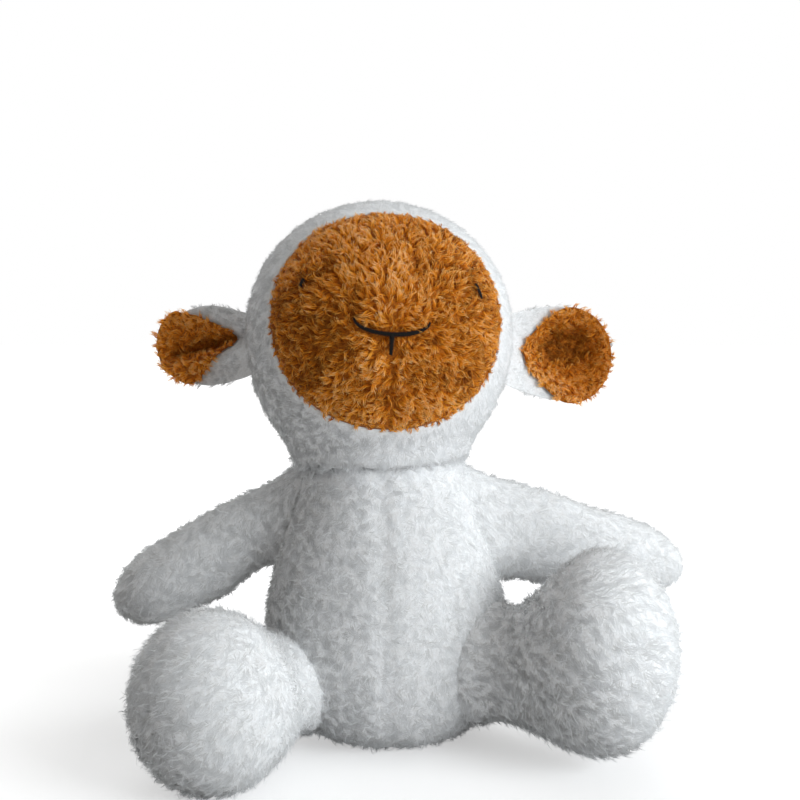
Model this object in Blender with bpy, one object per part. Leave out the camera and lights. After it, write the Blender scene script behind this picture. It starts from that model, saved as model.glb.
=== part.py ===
"""A seated plush sheep: long-pile covers over stuffing, with a face panel, cupped ears and soft limbs.

Metres, +Z up. The sheep faces -Y, and +X is its own left. The origin is the middle of the flat seat.
Each cover is one sewn skin of backing and pile, and its stuffing is a solid of its own inside it.
Limbs, ears and tail are sewn on along a short seam, which is their hinge, and their roots are cut
away to clear the body or head through their whole swing. Each pivot carries its swing in degrees.
The head rides on the domed top of the body, about the neck pivot.
"""

import math

import bmesh
import bpy
from mathutils import Matrix, Vector

# Cloth, seams and clearances
COVER_THICKNESS = 0.0045
STUFFING_GAP = 0.0003
PANEL_GAP = 0.0003
SWING_GAP = 0.0006
SEAM_DRAW = 0.0018
SEAM_HALF_WIDTH = 0.006
OVERRUN = 0.030

# Body: a pear with a flat seat and a domed top
BODY_WIDEST_WIDTH = 0.124
BODY_WIDEST_DEPTH = 0.106
BODY_WIDEST_HEIGHT = 0.050
BODY_LEAN = 0.004
SEAT_CUT_DEPTH = 0.004
BELLY_CURVE_POWER = 2.5

# Neck
NECK_WIDTH = 0.082
NECK_HEIGHT = 0.1385
NECK_PIVOT_DROP = 0.0335
NECK_RIDE_GAP = 0.0005
NECK_TURN_DEG = (-30.0, 30.0)
NECK_NOD_DEG = (-12.0, 15.0)
NECK_THREAD_WIDTH = 0.0014
NECK_THREAD_IN_SHARE = 0.55

# Pellet bag in the seat
PELLET_BAG_WIDTH = 0.074
PELLET_BAG_DEPTH = 0.060
PELLET_BAG_HEIGHT = 0.026

# Head
HEAD_WIDTH = 0.135
HEAD_DEPTH = 0.129
HEAD_CROWN_HEIGHT = 0.0655
HEAD_CHIN_HEIGHT = 0.077
HEAD_CENTRE_RISE = 0.065
HEAD_SHIFT = 0.0052
HEAD_TURN_DEG = 6.2
HEAD_RAISE_DEG = 4.5
HEAD_ROLL_DEG = 3.0

# Face panel, let into the front of the head
FACE_HALF_WIDTH_DEG = 56.0
FACE_HALF_HEIGHT_DEG = 50.5
FACE_RAISE_DEG = 5.0

# Embroidery, laid into the pile of the face
THREAD_WIDTH = 0.0022
THREAD_GAP = 0.0003
THREAD_SINK = 0.0003
THREAD_TAPER_SHARE = 0.55
THREAD_TAPER_POWER = 3
MOUTH_WIDTH = 0.0335
MOUTH_SAG = 0.0065
MOUTH_STEM = 0.0090
EYE_LENGTH = 0.0075
EYE_WIDTH = 0.0030
EYE_SPREAD = 0.0800
EYE_RISE = 0.0165
EYE_SLANT_DEG = 25.0

# Ears
EAR_LENGTH = {"right": 0.052, "left": 0.055}
EAR_HEIGHT = {"right": 0.046, "left": 0.054}
EAR_THICKNESS = 0.0075
EAR_CUP = 0.009
EAR_EDGE_POWER = 4
EAR_SINK = 0.008
EAR_DROP = {"right": 0.0105, "left": 0.0060}
EAR_FORWARD = 0.006
EAR_LINING_LENGTH = {"right": 0.042, "left": 0.045}
EAR_LINING_HEIGHT = {"right": 0.042, "left": 0.050}
EAR_LINING_THICKNESS = 0.0040
EAR_LINING_OUTSET = {"right": 0.0040, "left": 0.0060}
EAR_SWING_DEG = (-25.0, 25.0)
EAR_TURNED_BACK_DEG = {"right": 24.0, "left": 3.0}

# Arms
ARM_LENGTH = {"right": 0.106, "left": 0.115}
ARM_ROOT_HEIGHT = 0.048
ARM_ROOT_DEPTH = 0.026
ARM_WIDTH = 0.0425
ARM_WIDEST_AT = 0.070
ARM_SEAM_DROP = 0.026
ARM_SINK = 0.014
ARM_DROOP_DEG = {"right": 30.0, "left": 15.0}
ARM_BACK_DEG = {"right": 14.0, "left": 15.0}
ARM_SWING_DEG = (-10.0, 30.0)

# Legs: the foot that rests on the ground is pressed lower than the one that is held up
LEG_LENGTH = 0.085
LEG_ROOT_WIDTH = 0.050
LEG_ROOT_HEIGHT = {"right": 0.050, "left": 0.044}
LEG_ROOT_MIDDLE = {"right": 0.033, "left": 0.041}
FOOT_WIDTH = 0.077
FOOT_HEIGHT = {"right": 0.0835, "left": 0.0975}
FOOT_WIDEST_AT = 0.049
FOOT_LIFT = {"right": 0.0, "left": 0.009}
SOLE_CUT_DEPTH = 0.002
LEG_SEAM_HEIGHT = {"right": 0.036, "left": 0.041}
LEG_SEAM_ROUND_DEG = {"right": -142.0, "left": -34.0}
LEG_HEADING_DEG = {"right": -127.0, "left": -19.0}
LEG_SINK = 0.024
LEG_SWING_DEG = (-12.0, 12.0)

# Tail
TAIL_LENGTH = 0.030
TAIL_ROOT_WIDTH = 0.014
TAIL_WIDTH = 0.021
TAIL_WIDEST_AT = 0.018
TAIL_SEAM_HEIGHT = 0.048
TAIL_DROOP_DEG = 28.0
TAIL_SINK = 0.010
TAIL_SWING_DEG = (-20.0, 20.0)

# Facets
BODY_COLUMNS = 32
BODY_BELLY_ROWS = 6
BODY_CHEST_ROWS = 7
HEAD_COLUMNS = 32
HEAD_ROWS = 16
LIMB_COLUMNS = 20
TAIL_COLUMNS = 12
LIMB_ROOT_ROWS = 6
LIMB_END_ROWS = 5
PELLET_BAG_COLUMNS = 20
PELLET_BAG_ROWS = 10
HOLLOW_COLUMNS = 48
EAR_COLUMNS = 22
EAR_ROWS = 4
DOME_ROWS = 5
THREAD_SIDES = 6
THREAD_ROWS = 14
SWING_STEP_DEG = 10.0
END_SHARE = 0.97
SHARP_EDGE_DEG = 50.0
SURFACE_STEP = 1e-5
MERGE_DISTANCE = 1e-6

SIDES = {"right": -1.0, "left": 1.0}

# Looks: colour and roughness
WHITE_PILE = ((0.80, 0.82, 0.84, 1.0), 0.95)
BROWN_PILE = ((0.46, 0.17, 0.035, 1.0), 0.92)
BLACK_THREAD = ((0.012, 0.009, 0.008, 1.0), 0.55)
WHITE_THREAD = ((0.85, 0.86, 0.86, 1.0), 0.70)
POLYESTER_FILL = ((0.90, 0.91, 0.93, 1.0), 1.0)
PELLET_CLOTH = ((0.74, 0.75, 0.76, 1.0), 0.90)

UP = Vector((0.0, 0.0, 1.0))
BACK = Vector((0.0, 1.0, 0.0))
ORIGIN = Vector((0.0, 0.0, 0.0))


def clear_scene():
    """Removes whatever the scene holds."""
    for obj in list(bpy.data.objects):
        bpy.data.objects.remove(obj, do_unlink=True)


def set_look(obj, look):
    """Gives an object a material of its own."""
    colour, roughness = look
    material = bpy.data.materials.new(obj.name)
    material.use_nodes = True
    shader = material.node_tree.nodes["Principled BSDF"]
    shader.inputs["Base Color"].default_value = colour
    shader.inputs["Roughness"].default_value = roughness
    shader.inputs["Metallic"].default_value = 0.0
    material.diffuse_color = colour
    obj.data.materials.clear()
    obj.data.materials.append(material)


def new_object(name, bm):
    """An object from a bmesh whose points are in world coordinates."""
    bmesh.ops.recalc_face_normals(bm, faces=bm.faces)
    mesh = bpy.data.meshes.new(name)
    bm.to_mesh(mesh)
    bm.free()
    obj = bpy.data.objects.new(name, mesh)
    bpy.context.scene.collection.objects.link(obj)
    return obj


def settle(obj):
    """Applies an object's modifiers, and joins points that a cut left on top of each other."""
    graph = bpy.context.evaluated_depsgraph_get()
    settled = bpy.data.meshes.new_from_object(obj.evaluated_get(graph))
    obj.modifiers.clear()
    obj.data = settled
    bm = bmesh.new()
    bm.from_mesh(settled)
    bmesh.ops.remove_doubles(bm, verts=bm.verts, dist=MERGE_DISTANCE)
    bmesh.ops.dissolve_degenerate(bm, edges=bm.edges, dist=MERGE_DISTANCE)
    bm.to_mesh(settled)
    bm.free()
    return obj


def shape_by(obj, cutter, operation):
    """Cuts an object by another, and settles it."""
    modifier = obj.modifiers.new(operation.lower(), "BOOLEAN")
    modifier.operation = operation
    modifier.solver = "EXACT"
    modifier.object = cutter
    return settle(obj)


def hollow_out(cover, form):
    """Turns a form into a cover, by taking out the same form inset by the thickness of the cloth."""
    core = form("core", COVER_THICKNESS, 1)
    shape_by(cover, core, "DIFFERENCE")
    drop(core)


def drop(*helpers):
    """Takes away cutters that have done their work."""
    for helper in helpers:
        bpy.data.objects.remove(helper, do_unlink=True)


def finish(obj, look, pivot, parent):
    """Puts the origin on the pivot, hangs the piece on its parent, shades it smooth and colours it."""
    obj.data.transform(Matrix.Translation(-pivot))
    obj.matrix_world = Matrix.Translation(pivot)
    obj.parent = parent
    obj.matrix_parent_inverse = parent.matrix_world.inverted()
    obj.data.shade_smooth()
    obj.data.set_sharp_from_angle(angle=math.radians(SHARP_EDGE_DEG))
    set_look(obj, look)
    return obj


def new_pivot(name, place, parent=None, swing=(0.0, 0.0)):
    """An empty on a joint's axis, which carries the pieces that turn together and the joint's swing."""
    empty = bpy.data.objects.new(name, None)
    bpy.context.scene.collection.objects.link(empty)
    empty.parent = parent
    if parent:
        empty.matrix_parent_inverse = Matrix.Translation(-parent_place(parent))
    empty.matrix_world = Matrix.Translation(place)
    empty["swing_deg"] = swing
    bpy.context.view_layer.update()
    return empty


def parent_place(parent):
    return parent.matrix_world.translation.copy()


def loft(rings):
    """Skins a run of rings with quads, and closes the ends by flat faces."""
    bm = bmesh.new()
    loops = []
    for ring in rings:
        verts = [bm.verts.new(point) for point in ring]
        loops.append([bm.edges.new((verts[k - 1], verts[k])) for k in range(len(verts))])
    for lower, upper in zip(loops, loops[1:]):
        bmesh.ops.bridge_loops(bm, edges=lower + upper)
    for end in (loops[0], loops[-1]):
        bmesh.ops.edgeloop_fill(bm, edges=end)
    return bm


def turn_angles(columns):
    """Angles round a form, the first at the front."""
    return [2.0 * math.pi * k / columns - math.pi / 2.0 for k in range(columns)]


def ease(share):
    """Rises from 0 to 1 with level ends."""
    return 0.5 - 0.5 * math.cos(math.pi * min(max(share, 0.0), 1.0))


def body_half_sizes(height, inset):
    """Half the body's width and depth at a height: a superellipse below its widest, a cosine above."""
    neck = NECK_WIDTH / 2.0
    sizes = []
    for full in (BODY_WIDEST_WIDTH, BODY_WIDEST_DEPTH):
        half = full / 2.0
        if height < BODY_WIDEST_HEIGHT:
            reach = BODY_WIDEST_HEIGHT + SEAT_CUT_DEPTH - inset
            drop_share = min((BODY_WIDEST_HEIGHT - height) / reach, 1.0)
            swell = (1.0 - drop_share**BELLY_CURVE_POWER) ** (1.0 / BELLY_CURVE_POWER)
            sizes.append((half - inset) * swell)
        else:
            rise_share = (height - BODY_WIDEST_HEIGHT) / (NECK_HEIGHT - BODY_WIDEST_HEIGHT)
            swell = math.cos(math.pi / 2.0 * min(rise_share, 1.0))
            sizes.append(neck + (half - neck) * swell - inset)
    return sizes


def body_middle(height):
    """The middle of the body at a height: it leans a little to its right."""
    return Vector((-BODY_LEAN * height / NECK_HEIGHT, 0.0, height))


def body_point(height, angle, inset=0.0):
    """A point on the side of the body."""
    half_width, half_depth = body_half_sizes(height, inset)
    across = Vector((half_width * math.cos(angle), half_depth * math.sin(angle), 0.0))
    return body_middle(height) + across


def body_seat(height, angle):
    """A point on the side of the body and the outward direction there."""
    point = body_point(height, angle)
    up = body_point(height + SURFACE_STEP, angle) - point
    around = body_point(height, angle + SURFACE_STEP / BODY_WIDEST_WIDTH) - point
    return point, around.cross(up).normalized()


def neck_pivot():
    return Vector((-BODY_LEAN, 0.0, NECK_HEIGHT - NECK_PIVOT_DROP))


def neck_dome_radius():
    """The dome on the body's top passes through the neck seam."""
    return math.hypot(NECK_WIDTH / 2.0, NECK_PIVOT_DROP)


def seam_drawn(point, middle):
    """A point of the body's cover, drawn in where the front and back seams run."""
    across = point - middle
    share = across.x / SEAM_HALF_WIDTH
    return point - across.normalized() * SEAM_DRAW * math.exp(-share * share)


def body_rings(inset, columns):
    """Rings up the side of the body, from the flat seat to the neck, drawn in along its two seams."""
    heights = []
    for row in range(BODY_BELLY_ROWS):
        rise = 1.0 - math.cos(math.pi / 2.0 * row / BODY_BELLY_ROWS)
        heights.append(inset + (BODY_WIDEST_HEIGHT - inset) * rise)
    for row in range(BODY_CHEST_ROWS + 1):
        rise = (NECK_HEIGHT - BODY_WIDEST_HEIGHT) * row / BODY_CHEST_ROWS
        heights.append(BODY_WIDEST_HEIGHT + rise)
    rings = []
    for height in heights:
        middle = body_middle(height)
        ring = [body_point(height, angle, inset) for angle in turn_angles(columns)]
        rings.append([seam_drawn(point, middle) for point in ring])
    return rings


def dome_rings(edge_radius, dome_radius, columns):
    """Rings over the dome, from its edge nearly to its top."""
    edge = math.asin(edge_radius / dome_radius)
    rings = []
    for row in range(DOME_ROWS + 1):
        tilt = edge * (1.0 - END_SHARE * row / DOME_ROWS)
        rise = UP * dome_radius * math.cos(tilt)
        reach = dome_radius * math.sin(tilt)
        ring = [Vector((math.cos(a), math.sin(a), 0.0)) * reach for a in turn_angles(columns)]
        rings.append([neck_pivot() + rise + point for point in ring])
    return rings


def make_body_side(name):
    """The form of the body up to a flat top at the neck."""
    return new_object(name, loft(body_rings(0.0, BODY_COLUMNS)))


def make_body_solid(name, inset, coarser=1):
    """The whole form of the body, inset by a depth or grown by one below zero, up to its dome."""
    columns = BODY_COLUMNS // coarser
    dome_radius = neck_dome_radius() + max(-inset, 0.0)
    dome = dome_rings(NECK_WIDTH / 2.0 - inset, dome_radius, columns)
    sides = body_rings(inset, columns)
    if inset <= 0.0:
        sides = sides[:-1]
    return new_object(name, loft(sides + dome))


def make_ball(name, centre, radius):
    """A ball cutter about a point."""
    bm = bmesh.new()
    bmesh.ops.create_uvsphere(bm, u_segments=HOLLOW_COLUMNS, v_segments=HOLLOW_COLUMNS // 2, radius=radius)
    bmesh.ops.translate(bm, verts=bm.verts, vec=centre)
    return new_object(name, bm)


def head_centre():
    return Vector((-HEAD_SHIFT, 0.0, NECK_HEIGHT + HEAD_CENTRE_RISE))


def head_axes():
    """Turns the head's own frame into the world: it looks a little to its left and up, and leans over."""
    turn = Matrix.Rotation(math.radians(HEAD_TURN_DEG), 4, "Z")
    raise_chin = Matrix.Rotation(math.radians(-HEAD_RAISE_DEG), 4, "X")
    roll = Matrix.Rotation(math.radians(HEAD_ROLL_DEG), 4, "Y")
    return Matrix.Translation(head_centre()) @ turn @ raise_chin @ roll


def make_head_solid(name, inset, coarser=1):
    """The egg of the head, in the world."""
    bm = bmesh.new()
    columns = HEAD_COLUMNS // coarser
    bmesh.ops.create_uvsphere(bm, u_segments=columns, v_segments=HEAD_ROWS // coarser, radius=1.0)
    for vert in bm.verts:
        vertical = HEAD_CROWN_HEIGHT if vert.co.z > 0.0 else HEAD_CHIN_HEIGHT
        half_width = HEAD_WIDTH / 2.0 - inset
        half_depth = HEAD_DEPTH / 2.0 - inset
        vert.co = (vert.co.x * half_width, vert.co.y * half_depth, vert.co.z * (vertical - inset))
    bmesh.ops.transform(bm, matrix=head_axes(), verts=bm.verts)
    return new_object(name, bm)


def make_face_cutter(name, margin):
    """An oval cone that opens forward through the edge of the face, moved forward to leave a margin."""
    reach = HEAD_DEPTH / 2.0 + OVERRUN
    width_angle = math.radians(FACE_HALF_WIDTH_DEG)
    height_angle = math.radians(FACE_HALF_HEIGHT_DEG)
    forward = margin / math.sin(min(width_angle, height_angle))
    half_width = reach * math.tan(width_angle)
    half_height = reach * math.tan(height_angle)
    bm = bmesh.new()
    bmesh.ops.create_cone(
        bm, cap_ends=True, segments=HEAD_COLUMNS, radius1=1.0, radius2=0.0, depth=reach
    )
    for vert in bm.verts:
        along = reach / 2.0 - vert.co.z + forward
        vert.co = (vert.co.x * half_width, -along, vert.co.y * half_height)
    raised = Matrix.Rotation(math.radians(-FACE_RAISE_DEG), 4, "X")
    bmesh.ops.transform(bm, matrix=head_axes() @ raised, verts=bm.verts)
    return new_object(name, bm)


def swing_angles(swing):
    """Angles from one end of a swing to the other, at most one step apart, with the rest pose."""
    low, high = swing
    steps = math.ceil((high - low) / SWING_STEP_DEG)
    return sorted({low + (high - low) * k / steps for k in range(steps + 1)} | {0.0})


def clear_swing(pieces, solid, hinge, axis, swing):
    """Cuts pieces that swing about a hinge clear of a fixed solid, through their whole swing."""
    for degrees in swing_angles(swing):
        turned = bpy.data.objects.new("turned", solid.data.copy())
        bpy.context.scene.collection.objects.link(turned)
        turn = Matrix.Rotation(math.radians(-degrees), 4, axis)
        turned.data.transform(Matrix.Translation(hinge) @ turn @ Matrix.Translation(-hinge))
        for piece in pieces:
            shape_by(piece, turned, "DIFFERENCE")
        drop(turned)


def limb_profile(length, sink, root, widest, widest_at, inset):
    """Pairs of place along a limb and half sizes there: an eased swell, then a rounded end."""
    stations = []
    for row in range(LIMB_ROOT_ROWS):
        place = -sink + (widest_at + sink) * row / LIMB_ROOT_ROWS
        swell = ease(place / widest_at)
        stations.append((place, [r / 2.0 + (w - r) / 2.0 * swell - inset for r, w in zip(root, widest)]))
    for row in range(LIMB_END_ROWS + 1):
        turn = math.pi / 2.0 * END_SHARE * row / LIMB_END_ROWS
        place = widest_at + (length - inset - widest_at) * math.sin(turn)
        stations.append((place, [(w / 2.0 - inset) * math.cos(turn) for w in widest]))
    return stations


def make_limb(name, stations, columns, across, course_at):
    """A round form along a limb: its middle and upward direction come from the place along it."""
    rings = []
    for place, (half_across, half_up) in stations:
        middle, upward = course_at(place)
        ring = []
        for angle in turn_angles(columns):
            ring.append(
                middle + across * half_across * math.cos(angle) + upward * half_up * math.sin(angle)
            )
        rings.append(ring)
    return new_object(name, loft(rings))


def build_stuffed(prefix, form, pivot, axis, swing, fixed, ground=None):
    """A cover and its stuffing: the root is cut clear of what it swings against, the sole by the ground."""
    cover = form(f"{prefix}_cover", 0.0, 1)
    stuffing = form(f"{prefix}_stuffing", COVER_THICKNESS + STUFFING_GAP, 2)
    clear_swing((cover, stuffing), fixed, parent_place(pivot), axis, swing)
    if ground:
        shape_by(cover, ground, "DIFFERENCE")
    hollow_out(cover, form)
    finish(cover, WHITE_PILE, parent_place(pivot), pivot)
    finish(stuffing, POLYESTER_FILL, parent_place(pivot), pivot)


def make_ground():
    """A block under the ground, which cuts what stands on it flat."""
    bm = bmesh.new()
    bmesh.ops.create_cube(bm, size=1.0)
    reach = 2.0 * (BODY_WIDEST_WIDTH + LEG_LENGTH + OVERRUN)
    bmesh.ops.scale(bm, vec=(reach, reach, OVERRUN), verts=bm.verts)
    bmesh.ops.translate(bm, vec=-UP * OVERRUN / 2.0, verts=bm.verts)
    return new_object("ground", bm)


def make_tube(name, points, widths):
    """A round thread through points, with a width at each."""
    rings = []
    for k, point in enumerate(points):
        before = points[max(k - 1, 0)]
        after = points[min(k + 1, len(points) - 1)]
        along = (after - before).normalized()
        side = along.cross(BACK).normalized()
        across = along.cross(side)
        ring = []
        for angle in turn_angles(THREAD_SIDES):
            ring.append(
                point + side * widths[k] / 2.0 * math.cos(angle) + across * widths[k] / 2.0 * math.sin(angle)
            )
        rings.append(ring)
    return new_object(name, loft(rings))


def face_point(right, up, stand):
    """A point over the face panel, from places across and up it, standing off its pile."""
    vertical = HEAD_CROWN_HEIGHT if up > 0.0 else HEAD_CHIN_HEIGHT
    flat_share = (right / (HEAD_WIDTH / 2.0)) ** 2 + (up / vertical) ** 2
    surface = Vector((right, -HEAD_DEPTH / 2.0 * math.sqrt(1.0 - flat_share), up))
    return head_axes() @ (surface + surface.normalized() * stand)


def stitch_run(name, path, widths):
    """A satin-stitch line on the face, and the channel in the pile that it lies in."""
    points = [face_point(right, up, -THREAD_SINK) for right, up in path]
    line = make_tube(name, points, widths)
    first = points[0] + (points[0] - points[1]).normalized() * THREAD_GAP
    last = points[-1] + (points[-1] - points[-2]).normalized() * THREAD_GAP
    beyond = [first] + points[1:-1] + [last]
    channel = make_tube(f"{name}_channel", beyond, [w + 2.0 * THREAD_GAP for w in widths])
    return line, channel


def tapered(width, count):
    """Widths along a thread that narrows at both ends."""
    places = [abs(2.0 * k / (count - 1) - 1.0) for k in range(count)]
    return [width * (1.0 - THREAD_TAPER_SHARE * place**THREAD_TAPER_POWER) for place in places]


def build_body(pivot):
    """The body's cover, open at the neck, its stuffing and the bag of pellets that weights the seat."""
    cover = make_body_side("body_cover")
    hollow_out(cover, make_body_solid)
    finish(cover, WHITE_PILE, ORIGIN, pivot)

    stuffing = make_body_solid("body_stuffing", COVER_THICKNESS + STUFFING_GAP, 2)
    bag = make_pellet_bag("pellet_bag", 0.0)
    hollow = make_pellet_bag("pellet_hollow", STUFFING_GAP)
    shape_by(stuffing, hollow, "DIFFERENCE")
    drop(hollow)
    finish(stuffing, POLYESTER_FILL, ORIGIN, pivot)
    finish(bag, PELLET_CLOTH, ORIGIN, pivot)


def make_pellet_bag(name, grown):
    """A flat cushion of pellets, which lies on the seat's cover inside the stuffing."""
    bottom = COVER_THICKNESS + STUFFING_GAP
    bm = bmesh.new()
    bmesh.ops.create_uvsphere(bm, u_segments=PELLET_BAG_COLUMNS, v_segments=PELLET_BAG_ROWS, radius=0.5)
    sizes = (PELLET_BAG_WIDTH, PELLET_BAG_DEPTH, PELLET_BAG_HEIGHT)
    bmesh.ops.scale(bm, vec=[size + 2.0 * grown for size in sizes], verts=bm.verts)
    bmesh.ops.translate(bm, vec=UP * (bottom + PELLET_BAG_HEIGHT / 2.0), verts=bm.verts)
    return new_object(name, bm)


def build_neck(pivot):
    """The drawn thread that gathers the head's cover at the neck, under the dome."""
    radius = NECK_THREAD_WIDTH / 2.0
    clear = neck_dome_radius() - NECK_RIDE_GAP - radius
    reach = NECK_WIDTH / 2.0 - COVER_THICKNESS * NECK_THREAD_IN_SHARE
    rise = math.sqrt(clear**2 - reach**2)
    bm = bmesh.new()
    ring = bmesh.ops.create_circle(bm, segments=THREAD_SIDES, radius=radius)["verts"]
    bmesh.ops.rotate(bm, verts=ring, matrix=Matrix.Rotation(math.pi / 2.0, 3, "X"))
    bmesh.ops.translate(bm, verts=ring, vec=Vector((reach, 0.0, rise)))
    bmesh.ops.spin(
        bm, geom=bm.verts[:] + bm.edges[:], axis=UP, cent=ORIGIN, angle=2.0 * math.pi,
        steps=BODY_COLUMNS, use_merge=True,
    )
    bmesh.ops.translate(bm, verts=bm.verts, vec=neck_pivot())
    thread = new_object("neck_thread", bm)
    finish(thread, WHITE_THREAD, neck_pivot(), pivot)


def build_head(pivot):
    """The head's cover with its face panel let in, its stuffing, and the hollow that rides on the neck."""
    cover = make_head_solid("head_cover", 0.0)
    hollow_out(cover, make_head_solid)
    stuffing = make_head_solid("head_stuffing", COVER_THICKNESS + STUFFING_GAP, 2)
    hollow = make_ball("neck_hollow", neck_pivot(), neck_dome_radius() + NECK_RIDE_GAP)
    shape_by(cover, hollow, "DIFFERENCE")
    shape_by(stuffing, hollow, "DIFFERENCE")

    face = bpy.data.objects.new("face_panel", cover.data.copy())
    bpy.context.scene.collection.objects.link(face)
    opening = make_face_cutter("face_opening", 0.0)
    inner = make_face_cutter("face_outline", PANEL_GAP)
    shape_by(cover, opening, "DIFFERENCE")
    shape_by(face, inner, "INTERSECT")
    drop(hollow, opening, inner)

    build_embroidery(face, pivot)
    finish(cover, WHITE_PILE, parent_place(pivot), pivot)
    finish(face, BROWN_PILE, parent_place(pivot), pivot)
    finish(stuffing, POLYESTER_FILL, parent_place(pivot), pivot)


def build_embroidery(face, pivot):
    """The smile with its short stem, and two small slanted eyes, each in a channel in the face's pile."""
    turns = [math.pi * (k / (THREAD_ROWS - 1) - 0.5) for k in range(THREAD_ROWS)]
    smile = [(MOUTH_WIDTH / 2.0 * math.sin(t), -MOUTH_SAG * math.cos(t)) for t in turns]
    mouth, channel = stitch_run("mouth_embroidery", smile, tapered(THREAD_WIDTH, THREAD_ROWS))
    steps = range(THREAD_SIDES)
    drop_path = [(0.0, -MOUTH_SAG - MOUTH_STEM * k / (THREAD_SIDES - 1)) for k in steps]
    fall = [THREAD_WIDTH * (1.0 - THREAD_TAPER_SHARE * k / (THREAD_SIDES - 1)) for k in steps]
    stem, stem_channel = stitch_run("mouth_stem", drop_path, fall)
    shape_by(mouth, stem, "UNION")
    shape_by(face, channel, "DIFFERENCE")
    shape_by(face, stem_channel, "DIFFERENCE")
    drop(stem, channel, stem_channel)
    finish(mouth, BLACK_THREAD, parent_place(pivot), pivot)

    slant = math.radians(EYE_SLANT_DEG)
    for side, sign in SIDES.items():
        path = []
        for k in range(THREAD_SIDES):
            along = EYE_LENGTH * (k / (THREAD_SIDES - 1) - 0.5)
            right = sign * (EYE_SPREAD / 2.0 - along * math.sin(slant))
            path.append((right, EYE_RISE + along * math.cos(slant)))
        eye, channel = stitch_run(f"eye_{side}", path, tapered(EYE_WIDTH, THREAD_SIDES))
        shape_by(face, channel, "DIFFERENCE")
        drop(channel)
        finish(eye, BLACK_THREAD, parent_place(pivot), pivot)


def ear_seat(side):
    """The middle of the ear's seam on the side of the head, and the frame of the ear there."""
    sign = SIDES[side]
    share = EAR_DROP[side] / HEAD_CHIN_HEIGHT
    half_width = HEAD_WIDTH / 2.0 * math.sqrt(1.0 - share**2)
    turn = head_axes().to_3x3()
    upward = turn @ UP
    turned_back = Matrix.Rotation(sign * math.radians(EAR_TURNED_BACK_DEG[side]), 3, upward)
    outward = turned_back @ turn @ Vector((sign, 0.0, 0.0))
    forward = turned_back @ turn @ -BACK
    return head_axes() @ Vector((sign * half_width, 0.0, -EAR_DROP[side])), outward, forward, upward


def ear_plate(name, side, length, height, thickness, outset, stand):
    """A cupped round leaf: its back lies on a shallow bowl, and its front swells from a thin edge."""
    seat, outward, forward, upward = ear_seat(side)
    bowl_half = (EAR_LENGTH[side] + EAR_SINK) / 2.0
    bowl_middle = EAR_LENGTH[side] - bowl_half
    shares = [math.sin(math.pi / 2.0 * k / EAR_ROWS) for k in range(EAR_ROWS + 1)]
    shares[0] = 1.0 - END_SHARE
    rings = []
    for swell, order in ((thickness, shares), (0.0, shares[-2::-1])):
        for share in order:
            full = math.sqrt(1.0 - share**EAR_EDGE_POWER)
            ring = []
            for angle in turn_angles(EAR_COLUMNS):
                along = bowl_middle + outset + length / 2.0 * share * math.cos(angle)
                rise = height / 2.0 * share * math.sin(angle)
                away = math.hypot((along - bowl_middle) / bowl_half, rise / (EAR_HEIGHT[side] / 2.0))
                depth = EAR_FORWARD + EAR_CUP * (away**2 - 1.0) + stand + swell * full
                ring.append(seat + outward * along + upward * rise + forward * depth)
            rings.append(ring)
    return new_object(name, loft(rings))


def build_ears(head_pivot, head_grown):
    """Two cupped ears: a white back, and a brown lining that lies in it. The right one is turned back."""
    for side, sign in SIDES.items():
        seat, outward, forward, upward = ear_seat(side)
        hinge = seat + outward * SWING_GAP
        pivot = new_pivot(f"ear_{side}_pivot", hinge, head_pivot, EAR_SWING_DEG)
        back = ear_plate(
            f"ear_{side}_back", side, EAR_LENGTH[side] + EAR_SINK, EAR_HEIGHT[side],
            EAR_THICKNESS, 0.0, -EAR_THICKNESS,
        )
        lining = ear_plate(
            f"ear_{side}_lining", side, EAR_LINING_LENGTH[side], EAR_LINING_HEIGHT[side],
            EAR_LINING_THICKNESS, EAR_LINING_OUTSET[side], STUFFING_GAP,
        )
        clear_swing((back, lining), head_grown, hinge, -upward * sign, EAR_SWING_DEG)
        finish(back, WHITE_PILE, hinge, pivot)
        finish(lining, BROWN_PILE, hinge, pivot)


def build_arms(body_pivot, body_grown):
    """Two arms, each pinched into the side seam of the body, which is its hinge."""
    for side, sign in SIDES.items():
        seat, outward = body_seat(NECK_HEIGHT - ARM_SEAM_DROP, 0.0 if sign > 0.0 else math.pi)
        hinge = seat + outward * SWING_GAP
        axis = outward.cross(BACK).normalized()
        pivot = new_pivot(f"arm_{side}_pivot", hinge, body_pivot, ARM_SWING_DEG)
        droop = math.radians(ARM_DROOP_DEG[side])
        back = math.radians(ARM_BACK_DEG[side])
        level = math.cos(droop)
        along = Vector((sign * level * math.cos(back), level * math.sin(back), -math.sin(droop)))
        across = along.cross(UP).normalized()
        upward = across.cross(along)

        def course_at(place):
            share = ease(place / ARM_WIDEST_AT)
            return hinge + along * place, (axis * sign).lerp(upward, share).normalized()

        def form(name, inset, coarser):
            root = (ARM_ROOT_DEPTH, ARM_ROOT_HEIGHT)
            widest = (ARM_WIDTH, ARM_WIDTH)
            stations = limb_profile(ARM_LENGTH[side], ARM_SINK, root, widest, ARM_WIDEST_AT, inset)
            return make_limb(name, stations, LIMB_COLUMNS // coarser, across, course_at)

        build_stuffed(f"arm_{side}", form, pivot, axis, ARM_SWING_DEG, body_grown)


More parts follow.
